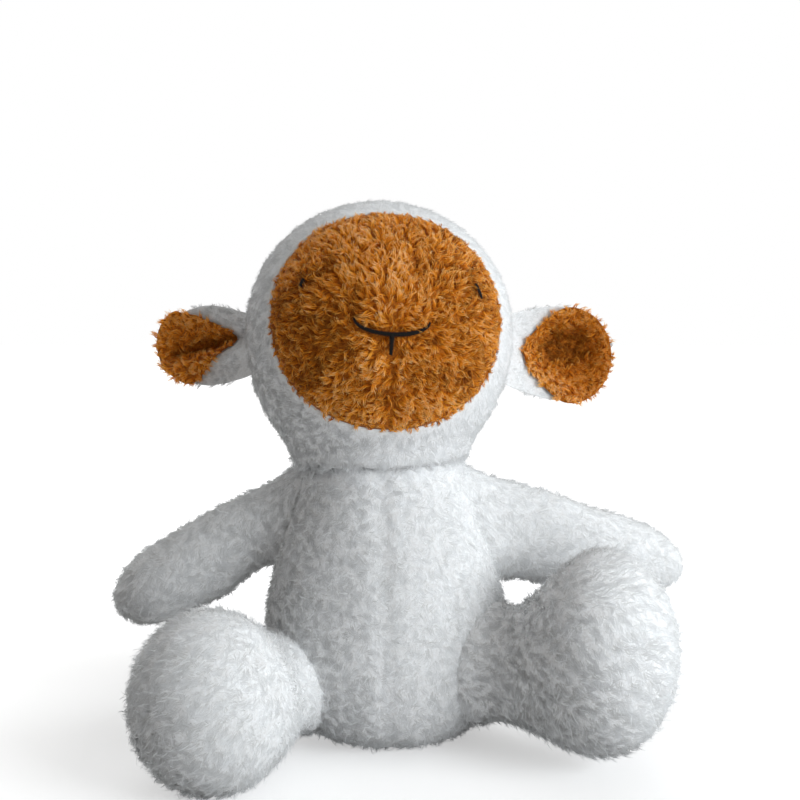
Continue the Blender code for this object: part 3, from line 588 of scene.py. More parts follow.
def comb(roots, normals, fields, style, rng, floor=None):
    """Strands in clumps. A clump's guide leaves the backing at one lean and ends at another, and turns
    aside by its bend; each strand follows the guide from its own root, and is drawn in towards it by
    the pull. A strand is a narrow ribbon that tapers to a point, flat towards the outside."""
    count, strands, steps = len(roots), style["strands"], style["steps"]
    flow = fields["flow"] + rng.normal(size=(count, 3)) * style["stray"]
    flow = unit(flow - dot(flow, normals)[:, None] * normals)
    aside = np.cross(normals, flow)
    t = np.linspace(0.0, 1.0, steps + 1)
    mid = (t[1:] + t[:-1]) / 2.0
    lean = np.radians(style["lean"][0] + (style["lean"][1] - style["lean"][0]) * mid)
    lean = lean[None, :] * fields["lean"][:, None] * rng.uniform(0.85, 1.15, (count, 1))
    bend = np.radians(rng.normal(size=(count, 1)) * style["bend"]) * mid[None, :]
    bend = bend + np.radians(style["wave"]) * np.sin(2.0 * np.pi * (mid[None, :] + rng.random((count, 1))))
    length = style["length"] * fields["length"] * rng.uniform(0.8, 1.15, count)
    level = flow[:, None, :] * np.cos(bend)[..., None] + aside[:, None, :] * np.sin(bend)[..., None]
    stepped = normals[:, None, :] * np.cos(lean)[..., None] + level * np.sin(lean)[..., None]
    guide = np.cumsum(stepped * (length / steps)[:, None, None], axis=1)
    guide = np.concatenate([np.zeros((count, 1, 3)), guide], axis=1)

    spot = rng.random((count, strands)) * 2.0 * np.pi
    far = style["radius"] * np.sqrt(rng.random((count, strands)))
    offset = flow[:, None, :] * np.cos(spot)[..., None] + aside[:, None, :] * np.sin(spot)[..., None]
    offset = offset * far[..., None]
    ratio = rng.uniform(0.72, 1.08, (count, strands))
    fray = rng.normal(size=(count, strands, 1, 3)) * style["fray"] * (t**1.5)[:, None]
    held = (style["pull"] * t**1.3)[:, None]
    lines = (
        roots[:, None, None, :] - normals[:, None, None, :] * style["bury"]
        + offset[:, :, None, :] * (1.0 - held) + guide[:, None, :, :] * ratio[..., None, None] + fray
    )
    if floor is not None:
        lines[..., 2] = np.maximum(lines[..., 2], floor)
    lines = lines.reshape(count * strands, steps + 1, 3)
    out = np.repeat(normals, strands, axis=0)[:, None, :]
    heading = np.gradient(lines, axis=1)
    side = unit(np.cross(heading, out))
    tilt = np.radians(rng.normal(size=(count * strands, 1, 1)) * style["tilt"])
    side = unit(side * np.cos(tilt) + out * np.sin(tilt))
    width = style["width"] / 2.0 * (1.0 - 0.55 * t[:-1] ** 2)
    width = width[None, :, None] * rng.uniform(0.7, 1.3, (count * strands, 1, 1))
    near, over = lines[:, :-1] - side[:, :-1] * width, lines[:, :-1] + side[:, :-1] * width
    body = np.stack([near, over], axis=2).reshape(-1, 2 * steps, 3)
    points = np.concatenate([body, lines[:, -1:]], axis=1)

    # Each strand's shade: the field, offset by its layer (the white undercoat painted darker as shade beneath
    # the curls, the curls painted lighter as a highlight on top), with random variation by clump and by
    # strand.
    shade = fields["shade"] + style["tone"] + rng.normal(size=count) * style["mottle"]
    shade = np.repeat(shade, strands) + rng.normal(size=count * strands) * style["speckle"]
    shade = np.clip(shade, 0.03, 0.97)
    u = np.concatenate([np.tile([-0.02, 0.02], steps), [0.0]])[None, :] + shade[:, None]
    v = np.broadcast_to(np.concatenate([np.repeat(t[:-1], 2), [1.0]]), u.shape)
    uv = np.stack([u, v * 0.98 + 0.01], axis=-1)

    facing = unit(np.cross(side, heading))
    facing = facing * np.sign(dot(facing, np.broadcast_to(out, facing.shape)))[..., None]
    soft = unit(facing * style["crisp"] + out * (1.0 - style["crisp"]))
    normal = np.concatenate([np.repeat(soft[:, :-1], 2, axis=1), soft[:, -1:]], axis=1)

    return points, uv, normal


def put_pile(name, locks):
    """One piece from combed strands: a run of quads up each ribbon, and a triangle at its tip."""
    quads, tips, first = [], [], 0
    for points, _, _ in locks:
        count, per = points.shape[:2]
        start = (first + np.arange(count) * per)[:, None, None]
        rung = np.arange((per - 3) // 2)[None, :, None] * 2
        quads.append((start + rung + np.array([0, 1, 3, 2])[None, None, :]).reshape(-1, 4))
        tips.append((start[:, 0] + np.array([per - 3, per - 2, per - 1])[None, :]).reshape(-1, 3))
        first += count * per
    points, uv, normal = (
        np.concatenate([field.reshape(-1, field.shape[-1]) for field in fields]) for fields in zip(*locks)
    )
    return put_mesh(name, points, [np.concatenate(quads), np.concatenate(tips)], uv, normal)


def white_style(p, **changes):
    """Long wavy pile: a dense undercoat of fine strands in loose locks, laid nearly flat."""
    # Its shade is offset down: painted shade on the undercoat beneath the curls.
    style = dict(
        length=p.white_length, width=p.strand_width, radius=0.0018, strands=14, steps=3,
        lean=(62.0, 88.0), bend=50.0, wave=30.0, stray=0.9, fray=0.00040, pull=0.15, tilt=14.0,
        bury=0.0002, speckle=0.16, mottle=0.02, crisp=0.20, tone=-0.15, per_area=0.115e6,
    )
    style.update(changes)
    return style


def curl_style(p, **changes):
    """The curls that stand out of the white pile: few strands, longer, bent over into arcs."""
    # Their shade is offset up: a painted highlight on the curls over the undercoat.
    style = white_style(
        p, length=p.white_length * 1.25, width=p.strand_width * 0.85, strands=3, steps=5, radius=0.0004,
        lean=(36.0, 92.0), bend=80.0, wave=20.0, stray=1.2, fray=0.00025, pull=0.8, crisp=0.45,
        speckle=0.06, mottle=0.06, tone=0.45, per_area=0.055e6,
    )
    style.update(changes)
    return style


def brown_style(p, **changes):
    """Short straight hair, combed one way in small locks."""
    style = dict(
        length=p.brown_length, width=p.hair_width, radius=0.0011, strands=10, steps=4,
        lean=(46.0, 86.0), bend=36.0, wave=26.0, stray=0.5, fray=0.00034, pull=0.55, tilt=26.0,
        bury=0.0004, speckle=0.16, mottle=0.16, crisp=0.85, tone=0.0, per_area=0.33e6,
    )
    style.update(changes)
    return style


def even(points, **given):
    """Fields at every point of a grid, 1 or a middle shade where nothing else is given."""
    plain = dict(length=1.0, thickness=1.0, lean=1.0, shade=0.5)
    fields = {key: np.full(points.shape[:2], value) for key, value in plain.items()}
    for key, value in given.items():
        fields[key] = value if key == "flow" else fields[key] * value
    return fields


def grow(name, points, normals, fields, styles, seed, parts=None, floor=None):
    """Combs pile over a grid, as one piece or one for each part of the roots, and names them."""
    rng = np.random.default_rng(seed)
    pile = bpy.context.scene.sheep_pile
    parts = parts or {"": lambda r: np.ones(len(r), bool)}
    locks = {suffix: [] for suffix in parts}
    for style in styles:
        dense = style["per_area"] * pile.thickness
        roots, ways, held = roots_on(points, normals, fields, dense, rng)
        for suffix, chosen in parts.items():
            pick = chosen(roots)
            some = {key: value[pick] for key, value in held.items()}
            locks[suffix].append(comb(roots[pick], ways[pick], some, style, rng, floor))
    return [put_pile(name + suffix, held) for suffix, held in locks.items()]


# Materials


def fresh_material(name):
    material = bpy.data.materials.new(name)
    material.use_nodes = True
    return material, material.node_tree.nodes, material.node_tree.links


def set_inputs(node, values):
    """Sets a node's inputs by name."""
    for key, value in values.items():
        node.inputs[key].default_value = value


def wire(links, *pairs):
    """Links outputs to inputs, pair by pair."""
    for output, socket in pairs:
        links.new(output, socket)


def math_node(nodes, links, operation, a, b):
    """What a Math node makes of two outputs."""
    node = nodes.new("ShaderNodeMath")
    node.operation = operation
    wire(links, (a, node.inputs[0]), (b, node.inputs[1]))
    return node.outputs[0]


def ramp(nodes, stops):
    """A colour ramp from (place, colour) pairs."""
    node = nodes.new("ShaderNodeValToRGB")
    elements = node.color_ramp.elements
    elements[0].position, elements[0].color = stops[0][0], (*stops[0][1], 1.0)
    elements[1].position, elements[1].color = stops[-1][0], (*stops[-1][1], 1.0)
    for place, colour in stops[1:-1]:
        element = elements.new(place)
        element.color = (*colour, 1.0)
    return node


def pile_material(name, roots_to_tips, shades, roughness, sheen, gloss, gloss_tint, through):
    """Strands: from root to tip one ramp along the map's V, times one across the strands along its U. A
    share of the light passes through them."""
    found = bpy.data.materials.get(name)
    if found:
        return found
    material, nodes, links = fresh_material(name)
    shader = nodes["Principled BSDF"]
    uv, split = nodes.new("ShaderNodeUVMap"), nodes.new("ShaderNodeSeparateXYZ")
    uv.uv_map = "OFBake"
    along, across = ramp(nodes, roots_to_tips), ramp(nodes, shades)
    times = nodes.new("ShaderNodeMix")
    times.data_type, times.blend_type = "RGBA", "MULTIPLY"
    thin, both = nodes.new("ShaderNodeBsdfTranslucent"), nodes.new("ShaderNodeMixShader")
    set_inputs(times, {"Factor": 1.0})
    set_inputs(both, {"Fac": through})
    set_inputs(shader, {
        "Roughness": roughness, "Sheen Weight": sheen, "Sheen Roughness": 0.5,
        "Specular IOR Level": gloss, "Specular Tint": (*gloss_tint, 1.0),
    })
    wire(
        links,
        (uv.outputs["UV"], split.inputs[0]),
        (split.outputs["Y"], along.inputs["Fac"]),
        (split.outputs["X"], across.inputs["Fac"]),
        (along.outputs["Color"], times.inputs["A"]),
        (across.outputs["Color"], times.inputs["B"]),
        (times.outputs["Result"], shader.inputs["Base Color"]),
        (times.outputs["Result"], thin.inputs["Color"]),
        (shader.outputs["BSDF"], both.inputs[1]),
        (thin.outputs["BSDF"], both.inputs[2]),
        (both.outputs["Shader"], nodes["Material Output"].inputs["Surface"]),
    )
    return material


def cloth_material(name, dark, pale, grain, depth, roughness=0.95, stretch=(1.0, 1.0, 1.0), sheen=0.15):
    """Cloth or fibre in the object's own coordinates: noise between two colours, and a bump from it."""
    found = bpy.data.materials.get(name)
    if found:
        return found
    material, nodes, links = fresh_material(name)
    shader = nodes["Principled BSDF"]
    place, mapping = nodes.new("ShaderNodeTexCoord"), nodes.new("ShaderNodeMapping")
    noise, raised = nodes.new("ShaderNodeTexNoise"), nodes.new("ShaderNodeBump")
    colours = ramp(nodes, ((0.3, dark), (0.7, pale)))
    set_inputs(mapping, {"Scale": stretch})
    set_inputs(noise, {"Scale": 1.0 / grain, "Detail": 4.0})
    set_inputs(raised, {"Strength": 0.6, "Distance": depth})
    set_inputs(shader, {"Roughness": roughness, "Sheen Weight": sheen, "Specular IOR Level": 0.2})
    wire(
        links,
        (place.outputs["Object"], mapping.inputs["Vector"]),
        (mapping.outputs["Vector"], noise.inputs["Vector"]),
        (noise.outputs["Fac"], colours.inputs["Fac"]),
        (colours.outputs["Color"], shader.inputs["Base Color"]),
        (noise.outputs["Fac"], raised.inputs["Height"]),
        (raised.outputs["Normal"], shader.inputs["Normal"]),
    )
    return material


def mixed(a, b, part):
    return tuple(x + (y - x) * part for x, y in zip(a, b))


def white_pile():
    p = bpy.context.scene.sheep_pile
    # From root to tip: greyer at the root, a painted shade down among the strands.
    tips = ((0.0, p.white_root_shade), (0.45, mixed(p.white_root_shade, p.white, 0.7)), (1.0, p.white))
    # Across the strands: the low end carries the undercoat's painted shade, the high end the curls' painted
    # highlight and the painted highlight round the neck, besides random variation.
    shades = ((0.0, (0.74, 0.735, 0.72)), (0.5, (0.89, 0.89, 0.89)), (1.0, (1.0, 1.0, 1.0)))
    return pile_material("white pile", tips, shades, 0.9, 0.1, 0.1, (1.0, 1.0, 1.0), 0.45)


def brown_pile():
    p = bpy.context.scene.sheep_pile
    tips = ((0.0, p.brown_root), (0.55, p.brown), (1.0, p.gold))
    # Across the strands: the dark end carries the painted shade over the right cheek, down the chin's seam
    # and in the ears' folds, the pale end the painted highlights on the forehead, muzzle, chin and the ears'
    # rims and lips, besides random mottling.
    shades = (
        (0.0, (0.22, 0.10, 0.02)), (0.4, (0.76, 0.49, 0.15)),
        (0.7, (0.96, 0.84, 0.58)), (1.0, (1.0, 1.0, 1.0)),
    )
    return pile_material("brown pile", tips, shades, 0.45, 0.0, 0.25, (1.0, 0.70, 0.30), 0.25)


def fibre_cloth():
    dark, pale = (0.74, 0.75, 0.77), (0.95, 0.96, 0.97)
    return cloth_material("polyester fibre", dark, pale, 0.0022, 0.0012, 1.0, (1.0, 3.0, 1.5))


def white_backing():
    p = bpy.context.scene.sheep_pile
    # Noise between white and a grey below the pile's root colour: the knit's grain, with its dark end a
    # painted shade under the strands.
    return cloth_material("white backing", mixed(p.white_root_shade, (0.5, 0.5, 0.5), 0.2), p.white, 0.0012, 0.0004)


def brown_backing():
    p = bpy.context.scene.sheep_pile
    # Noise between the hair's root colour darkened well toward black and a little above it: the knit's grain,
    # with its dark end a painted shade under the hair.
    dark, pale = mixed(p.brown_root, (0.0, 0.0, 0.0), 0.6), mixed(p.brown_root, p.brown, 0.1)
    return cloth_material("brown backing", dark, pale, 0.0010, 0.0005)


def dress(obj, material):
    """Gives a piece its material. White pile is so fine and pale
    that it throws no shadow of its own; the skin under it does."""
    obj.visible_shadow = material.name != "white pile"
    obj.data.materials.clear()
    obj.data.materials.append(material)
    return obj


def ride_skin(name, points, outward, cloth, body, node):
    """A skin that rides on one body and stands for one padded solid."""
    skin = put_skin(name, points, outward)
    dress(skin, cloth)
    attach(skin, body)
    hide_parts(node)


def ride_pile(pieces, pile, body):
    """Pieces of pile that ride on one body."""
    for piece in pieces:
        dress(piece, pile)
        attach(piece, body)


# Operators


class SHEEP_OT_body(bpy.types.Operator):
    """Builds the body's skin, with its two drawn seams, and its pile"""

    bl_idname = "sheep.body"
    bl_label = "Body"

    def execute(self, context):
        s, p = context.scene.sheep_sizes, context.scene.sheep_pile
        points, seam = body_grid(s, SKIN_INSET, 72, 96)
        ride_skin("body_skin", points, True, white_backing(), "body", "body_cover")

        normals = grid_normals(points)
        flow = -UP * 0.75 + lumps(points, 0.03, 3)[..., None] * np.cross(normals, UP) * 1.2
        part = bump(seam, 0.0020)
        flow = flow + np.sign(points[..., :1] + 0.002) * ACROSS * part[..., None]
        top = ease((points[..., 2] - s.neck_height + 0.010) / 0.010)[..., None]
        standing = UP * 0.7 + lumps(points, 0.012, 10)[..., None] * np.cross(normals, UP)
        flow = flow * (1.0 - top) + top * standing
        covered = np.zeros(points.shape[:2], bool)
        for side in SIDES:
            covered |= arm_form(s, side)[0].holds(points, 0.001) | leg_form(s, side)[0].holds(points, -0.001)
        domed = points[..., 2] > s.neck_height + 0.005
        # Pile in the band under the head is painted lighter: a painted highlight over the shade of the
        # crevice at the neck.
        fields = even(
            points, flow=flow, length=(1.0 - 0.35 * part) * (1.0 + 0.15 * lumps(points, 0.02, 4)),
            lean=1.0 - 0.30 * top[..., 0],
            thickness=np.where(covered | domed, 0.0, 1.0 - 0.25 * bump(seam, 0.0008))
            * np.where(points[..., 2] < 0.004, 0.3, 1.0),
            shade=1.0 + 0.15 * lumps(points, 0.015, 5) + 0.5 * top[..., 0],
        )
        style = [white_style(p), curl_style(p)]
        parts = {
            "_chest": lambda r: (r[:, 1] < 0.0) & (r[:, 2] >= BODY_PARTING),
            "_belly": lambda r: (r[:, 1] < 0.0) & (r[:, 2] < BODY_PARTING),
            "_back": lambda r: (r[:, 1] >= 0.0) & (r[:, 2] >= BODY_PARTING),
            "_seat": lambda r: (r[:, 1] >= 0.0) & (r[:, 2] < BODY_PARTING),
        }
        pieces = grow("body_pile", points, normals, fields, style, 11, parts, FLOOR_CLEARANCE)
        ride_pile(pieces, white_pile(), "body")
        return {"FINISHED"}


def body_grid(s, inset, rows, columns):
    """Rings over the body: across the flat seat, up the sides, and over the dome under the head. Each
    is drawn in where the front and back seams run, by a bell across them. Also the gap to the seam."""
    angle = np.linspace(0.0, 2.0 * np.pi, columns, endpoint=False) - np.pi / 2.0
    seat = np.linspace(0.12, 0.9, 7)
    belly = inset + (s.widest_height - inset) * (1.0 - np.cos(np.linspace(0.0, np.pi / 2.0, rows // 3)))
    chest = np.linspace(s.widest_height, s.neck_height, rows // 2)[1:]
    z = np.concatenate([np.full(7, inset), belly, chest])
    scale = np.concatenate([seat, np.ones(len(belly) + len(chest))])
    side = body_points(s, z[:, None] + 0.0 * angle, angle + 0.0 * z[:, None], inset)
    middle = np.stack([-s.body_lean * z / s.neck_height, 0.0 * z, z], axis=-1)[:, None, :]
    side = middle + (side - middle) * scale[:, None, None]
    across = side - middle
    seam = np.abs(across[..., 0])
    side = side - unit(across) * (0.0013 * bump(seam, 0.0030) * scale[:, None])[..., None]
    side = side + unit(across) * (0.0006 * lumps(side, 0.045, 2) * (z > 0.01)[:, None])[..., None]
    radius = dome_radius(s) + DOME_CLEARANCE
    tilt = math.asin((s.neck_width / 2.0 - inset) / radius) * np.linspace(1.0, 0.04, 8)
    round_ = np.stack([np.cos(angle), np.sin(angle), 0.0 * angle], axis=-1)
    dome = neck_pivot(s) + radius * (np.sin(tilt)[:, None, None] * round_ + np.cos(tilt)[:, None, None] * UP)
    points = np.concatenate([side, dome])
    return points, np.concatenate([seam, np.full(dome.shape[:2], 1.0)])


class SHEEP_OT_head(bpy.types.Operator):
    """Builds the head's skin round the face and its smooth pile"""

    bl_idname = "sheep.head"
    bl_label = "Head"

    def execute(self, context):
        s, p = context.scene.sheep_sizes, context.scene.sheep_pile
        angle = np.linspace(0.0, 2.0 * np.pi, 96, endpoint=False)
        edge = face_edge(angle)
        lid = edge * np.linspace(0.04, 1.0, 14)[:, None]
        open_ = edge + (np.pi - edge) * np.linspace(0.0, 1.0, 64)[:, None] ** 0.95 * 0.985
        off = np.concatenate([lid, open_])
        ways = face_ways(off, angle + 0.0 * off)
        inset = np.concatenate([np.full(14, UNDER_FACE), np.full(64, SKIN_INSET)])[:, None]
        turn, middle = head_frame(s)
        down = unit(neck_pivot(s) - middle) @ turn
        off_neck = np.arccos(np.clip(ways @ down, -1.0, 1.0)) - math.radians(RIM_ANGLE)
        reach = egg_reach(s, ways, inset) + RIM_OUT * bump(off_neck * HEAD_RADIUS, RIM_WIDTH)
        hollow = hollow_reach(s, ways, dome_radius(s) + HOLLOW_CLEARANCE)
        points = to_world(s, ways * np.minimum(reach, hollow)[..., None])
        ride_skin("head_skin", points, False, white_backing(), "head", "head_cover")

        normals = grid_normals(points, True)
        back = turn[:, 1]
        around = (points - middle) @ turn
        flow = back * 0.9 - turn[:, 2] * 0.55 + lumps(points, 0.04, 7)[..., None] * np.cross(normals, back)
        off_edge = (off - edge) * 0.065
        rim = bump(np.maximum(points[..., 2] - s.neck_height, 0.0), 0.007)[..., None]
        hanging = lumps(points, 0.01, 6)[..., None] * np.cross(normals, UP) * 0.6 - UP
        flow = flow * (1.0 - rim) + rim * hanging
        bare = (hollow < reach - 0.0042) | (off < edge + 0.004)
        ears = ear_roots(s, points)
        seam = np.abs(around[..., 0]) + np.where(around[..., 1] > 0.0, 0.0, 1.0)
        length = (0.86 + 0.1 * lumps(points, 0.02, 8)) * (1.0 + 0.55 * rim[..., 0])
        length = length * (1.0 - 0.4 * bump(off_edge, 0.003)) * (1.0 - 0.4 * bump(seam, 0.003))
        # Pile along the rim over the neck is painted lighter: a painted highlight over the shade of the
        # crevice under the head.
        fields = even(
            points, flow=flow, length=length, thickness=np.where(bare | ears, 0.0, 1.0),
            shade=1.0 + 0.15 * lumps(points, 0.02, 9) + 0.6 * rim[..., 0], lean=1.0 - 0.16 * rim[..., 0],
        )
        style = [
            white_style(p, stray=0.5, bend=34.0, wave=20.0, lean=(68.0, 89.0)),
            curl_style(p, length=p.white_length, lean=(60.0, 92.0), bend=50.0, stray=0.9, per_area=0.022e6),
        ]
        parts = {
            "_front": lambda r: (r - middle) @ back < HEAD_PARTING,
            "_back": lambda r: (r - middle) @ back >= HEAD_PARTING,
        }
        pieces = grow("head_pile", points, normals, fields, style, 21, parts)
        ride_pile(pieces, white_pile(), "head")
        return {"FINISHED"}


class SHEEP_OT_face(bpy.types.Operator):
    """Builds the brown face panel and its combed hair, parted along the eyes, the smile and the chin"""

    bl_idname = "sheep.face"
    bl_label = "Face"

    def execute(self, context):
        s, p = context.scene.sheep_sizes, context.scene.sheep_pile
        angle = np.linspace(0.0, 2.0 * np.pi, 96, endpoint=False)
        edge = face_edge(angle) - 0.006
        part = np.concatenate([np.linspace(0.03, 1.0, 40), np.linspace(0.995, 0.03, 20)])[:, None]
        inset = np.concatenate([np.full(40, FACE_INSET), np.full(20, 0.0037)])[:, None]
        off = edge * part
        ways = face_ways(off, angle + 0.0 * off)
        surface = ways * egg_reach(s, ways, inset)[..., None]
        right, up = surface[..., 0], surface[..., 2]
        relief = face_relief(right, up) * (inset < 0.003) * ease((1.0 - part) / 0.15)
        points = to_world(s, surface + unit(surface) * relief[..., None])
        ride_skin("face_skin", points, False, brown_backing(), "head", "face_panel")

        outer = points[:40]
        normals = grid_normals(outer, True)
        turn, middle = head_frame(s)
        right, up = right[:40], up[:40]
        places = np.stack([right, up], axis=-1)
        lie = np.stack([right * 1.15 + 0.10 * (np.abs(right) - 0.02) * (up > 0.0), up + 0.004], axis=-1)
        below = ease((-0.004 - up) / 0.02)[..., None]
        fallen = unit(np.stack([np.sign(right) * 1.1, -0.8 + 0.0 * up], axis=-1))
        lie = unit(lie) * (1.0 - below) + below * fallen
        smile, stem = smile_path(40)
        lines = np.concatenate([smile, stem])
        gap, away = gap_to(places, lines)
        eyes = np.concatenate([eye_path(-1.0, 12), eye_path(1.0, 12)])
        eye_gap, eye_away = gap_to(places, eyes)
        near, eye_near = bump(gap, 0.0020), bump(eye_gap, 0.0014)
        lie = lie * (1.0 - 0.8 * near)[..., None] + away * (near * 0.8)[..., None]
        lie = lie * (1.0 - eye_near * 0.6)[..., None] + eye_away * (eye_near * 0.6)[..., None]
        rim = (1.0 - part[:40]) * 0.055 + 0.0 * gap
        flow = lie[..., :1] * turn[:, 0] + lie[..., 1:] * turn[:, 2]
        flow = flow * (1.0 - 0.6 * bump(rim, 0.005))[..., None]
        flow = flow + lumps(outer, 0.013, 15)[..., None] * np.cross(normals, flow) * 0.8
        # The hair's shade holds painted light: painted highlights over the forehead, the muzzle and the chin,
        # and painted shade over the sheep's right cheek and in the groove down the chin's seam; only the
        # mottling is random variation of the hair.
        forehead = 0.37 * ease((up - 0.012) / 0.03) * ease((0.03 - right) / 0.05)
        muzzle = 0.30 * bump(np.hypot(right, up - 0.012), 0.016)
        chin = 0.20 * ease((-0.026 - up) / 0.02)
        cheek = 0.22 * bump(np.hypot(right + 0.030, (up + 0.006) / 1.4), 0.013)
        mottled = 0.16 * lumps(outer, 0.011, 13) + 0.12 * lumps(outer, 0.022, 16)
        seam = 0.25 * bump(right, 0.0016) * below[..., 0]
        shade = 0.42 + forehead + muzzle + chin - cheek + mottled - seam
        length = (1.0 - 0.45 * near) * (1.0 - 0.35 * bump(rim, 0.005))
        length = length * (1.0 + 0.12 * lumps(outer, 0.012, 14))
        fields = even(
            outer, flow=flow, length=length, thickness=np.where(gap < 0.0005, 0.0, 1.0),
            lean=1.0 + 0.25 * bump(rim, 0.006),
        )
        fields["shade"] = np.clip(shade, 0.05, 0.95)
        parts = {
            "_right": lambda r: r @ turn[:, 0] < middle @ turn[:, 0],
            "_left": lambda r: r @ turn[:, 0] >= middle @ turn[:, 0],
        }
        pieces = grow("face_pile", outer, normals, fields, [brown_style(p)], 31, parts)
        ride_pile(pieces, brown_pile(), "head")
        return {"FINISHED"}


def ear_axes(s, side):
    """The middle of the ear's seam on the head, and its outward, forward and upward directions."""
    sign, fact = SIDES[side], EAR[side]
    turn, middle = head_frame(s)
    part = fact["drop"] / s.chin_height
    half_width = s.head_width / 2.0 * math.sqrt(1.0 - part**2)
    upward = turn @ UP
    back = turning(upward, sign * fact["turned_back"])
    seat = to_world(s, np.array([sign * half_width, 0.0, -fact["drop"]]))
    return seat, back @ turn @ (ACROSS * sign), back @ turn @ -BACK, upward


def ear_roots(s, points):
    """Whether points of the head lie under an ear's root."""
    under = np.zeros(points.shape[:2], bool)
    for side in SIDES:
        seat, outward, forward, upward = ear_axes(s, side)
        away = points - seat
        tall = dot(away, upward) / (EAR[side]["height"] * 0.36)
        deep = (dot(away, forward) + 0.003) / 0.005
        under |= (tall**2 + deep**2 < 1.0) & (dot(away, outward) > -0.02)
    return under


def ear_fold(side, along, rise):
    """How deep in the fold a place of the ear lies, from 0 to 1, and how far it lies on the lower lip."""
    if side == "right":
        line = rise - (-0.0024 - 0.30 * (along - 0.030))
        return bump(line, 0.0032) * ease((0.046 - along) / 0.010), bump(line + 0.0075, 0.0045)
    line = -0.0008 - 0.62 * (along - 0.008) - rise
    hollow = bump(np.hypot((along - 0.028) / 0.0145, (rise - 0.004) / 0.0095) ** 2, 1.0)
    return hollow * ease((0.002 - line) / 0.003), ease(line / 0.003) * ease((0.038 - along) / 0.010)


def ear_depth(side, along, rise):
    """How far forward the ear's cup stands: a bowl, less the fold, plus the lower lip."""
    fact = EAR[side]
    half = (fact["length"] + 0.008) / 2.0
    middle = fact["length"] - half
    away = np.hypot((along - middle) / half, rise / (fact["height"] / 2.0))
    fold, lip = ear_fold(side, along, rise)
    return 0.006 + 0.009 * (away**2 - 1.0) - 0.0045 * fold + 0.0030 * lip


def ear_sheet(s, side, outline, thickness, stand, rows=16, columns=72):
    """A cupped leaf: rings of the outline shrunk by a share, out over the front and back behind it."""
    seat, outward, forward, upward = ear_axes(s, side)
    angle = np.linspace(0.0, 2.0 * np.pi, columns, endpoint=False)
    middle, reach_along, reach_rise = outline(angle)
    front = np.sin(np.linspace(0.03, 1.0, rows) * np.pi / 2.0)
    shares = np.concatenate([front, front[-2::-1]])[:, None]
    full = np.sqrt(1.0 - np.minimum(shares, 1.0) ** EAR_EDGE_POWER)
    half = thickness / 2.0
    swell = np.concatenate([np.full(rows, half), np.full(rows - 1, -half)])[:, None] * full
    along = middle[0] + shares * reach_along
    rise = middle[1] + shares * reach_rise
    depth = ear_depth(side, along, rise) + stand + swell
    points = seat + along[..., None] * outward + rise[..., None] * upward + depth[..., None] * forward
    return points, along, rise, rows


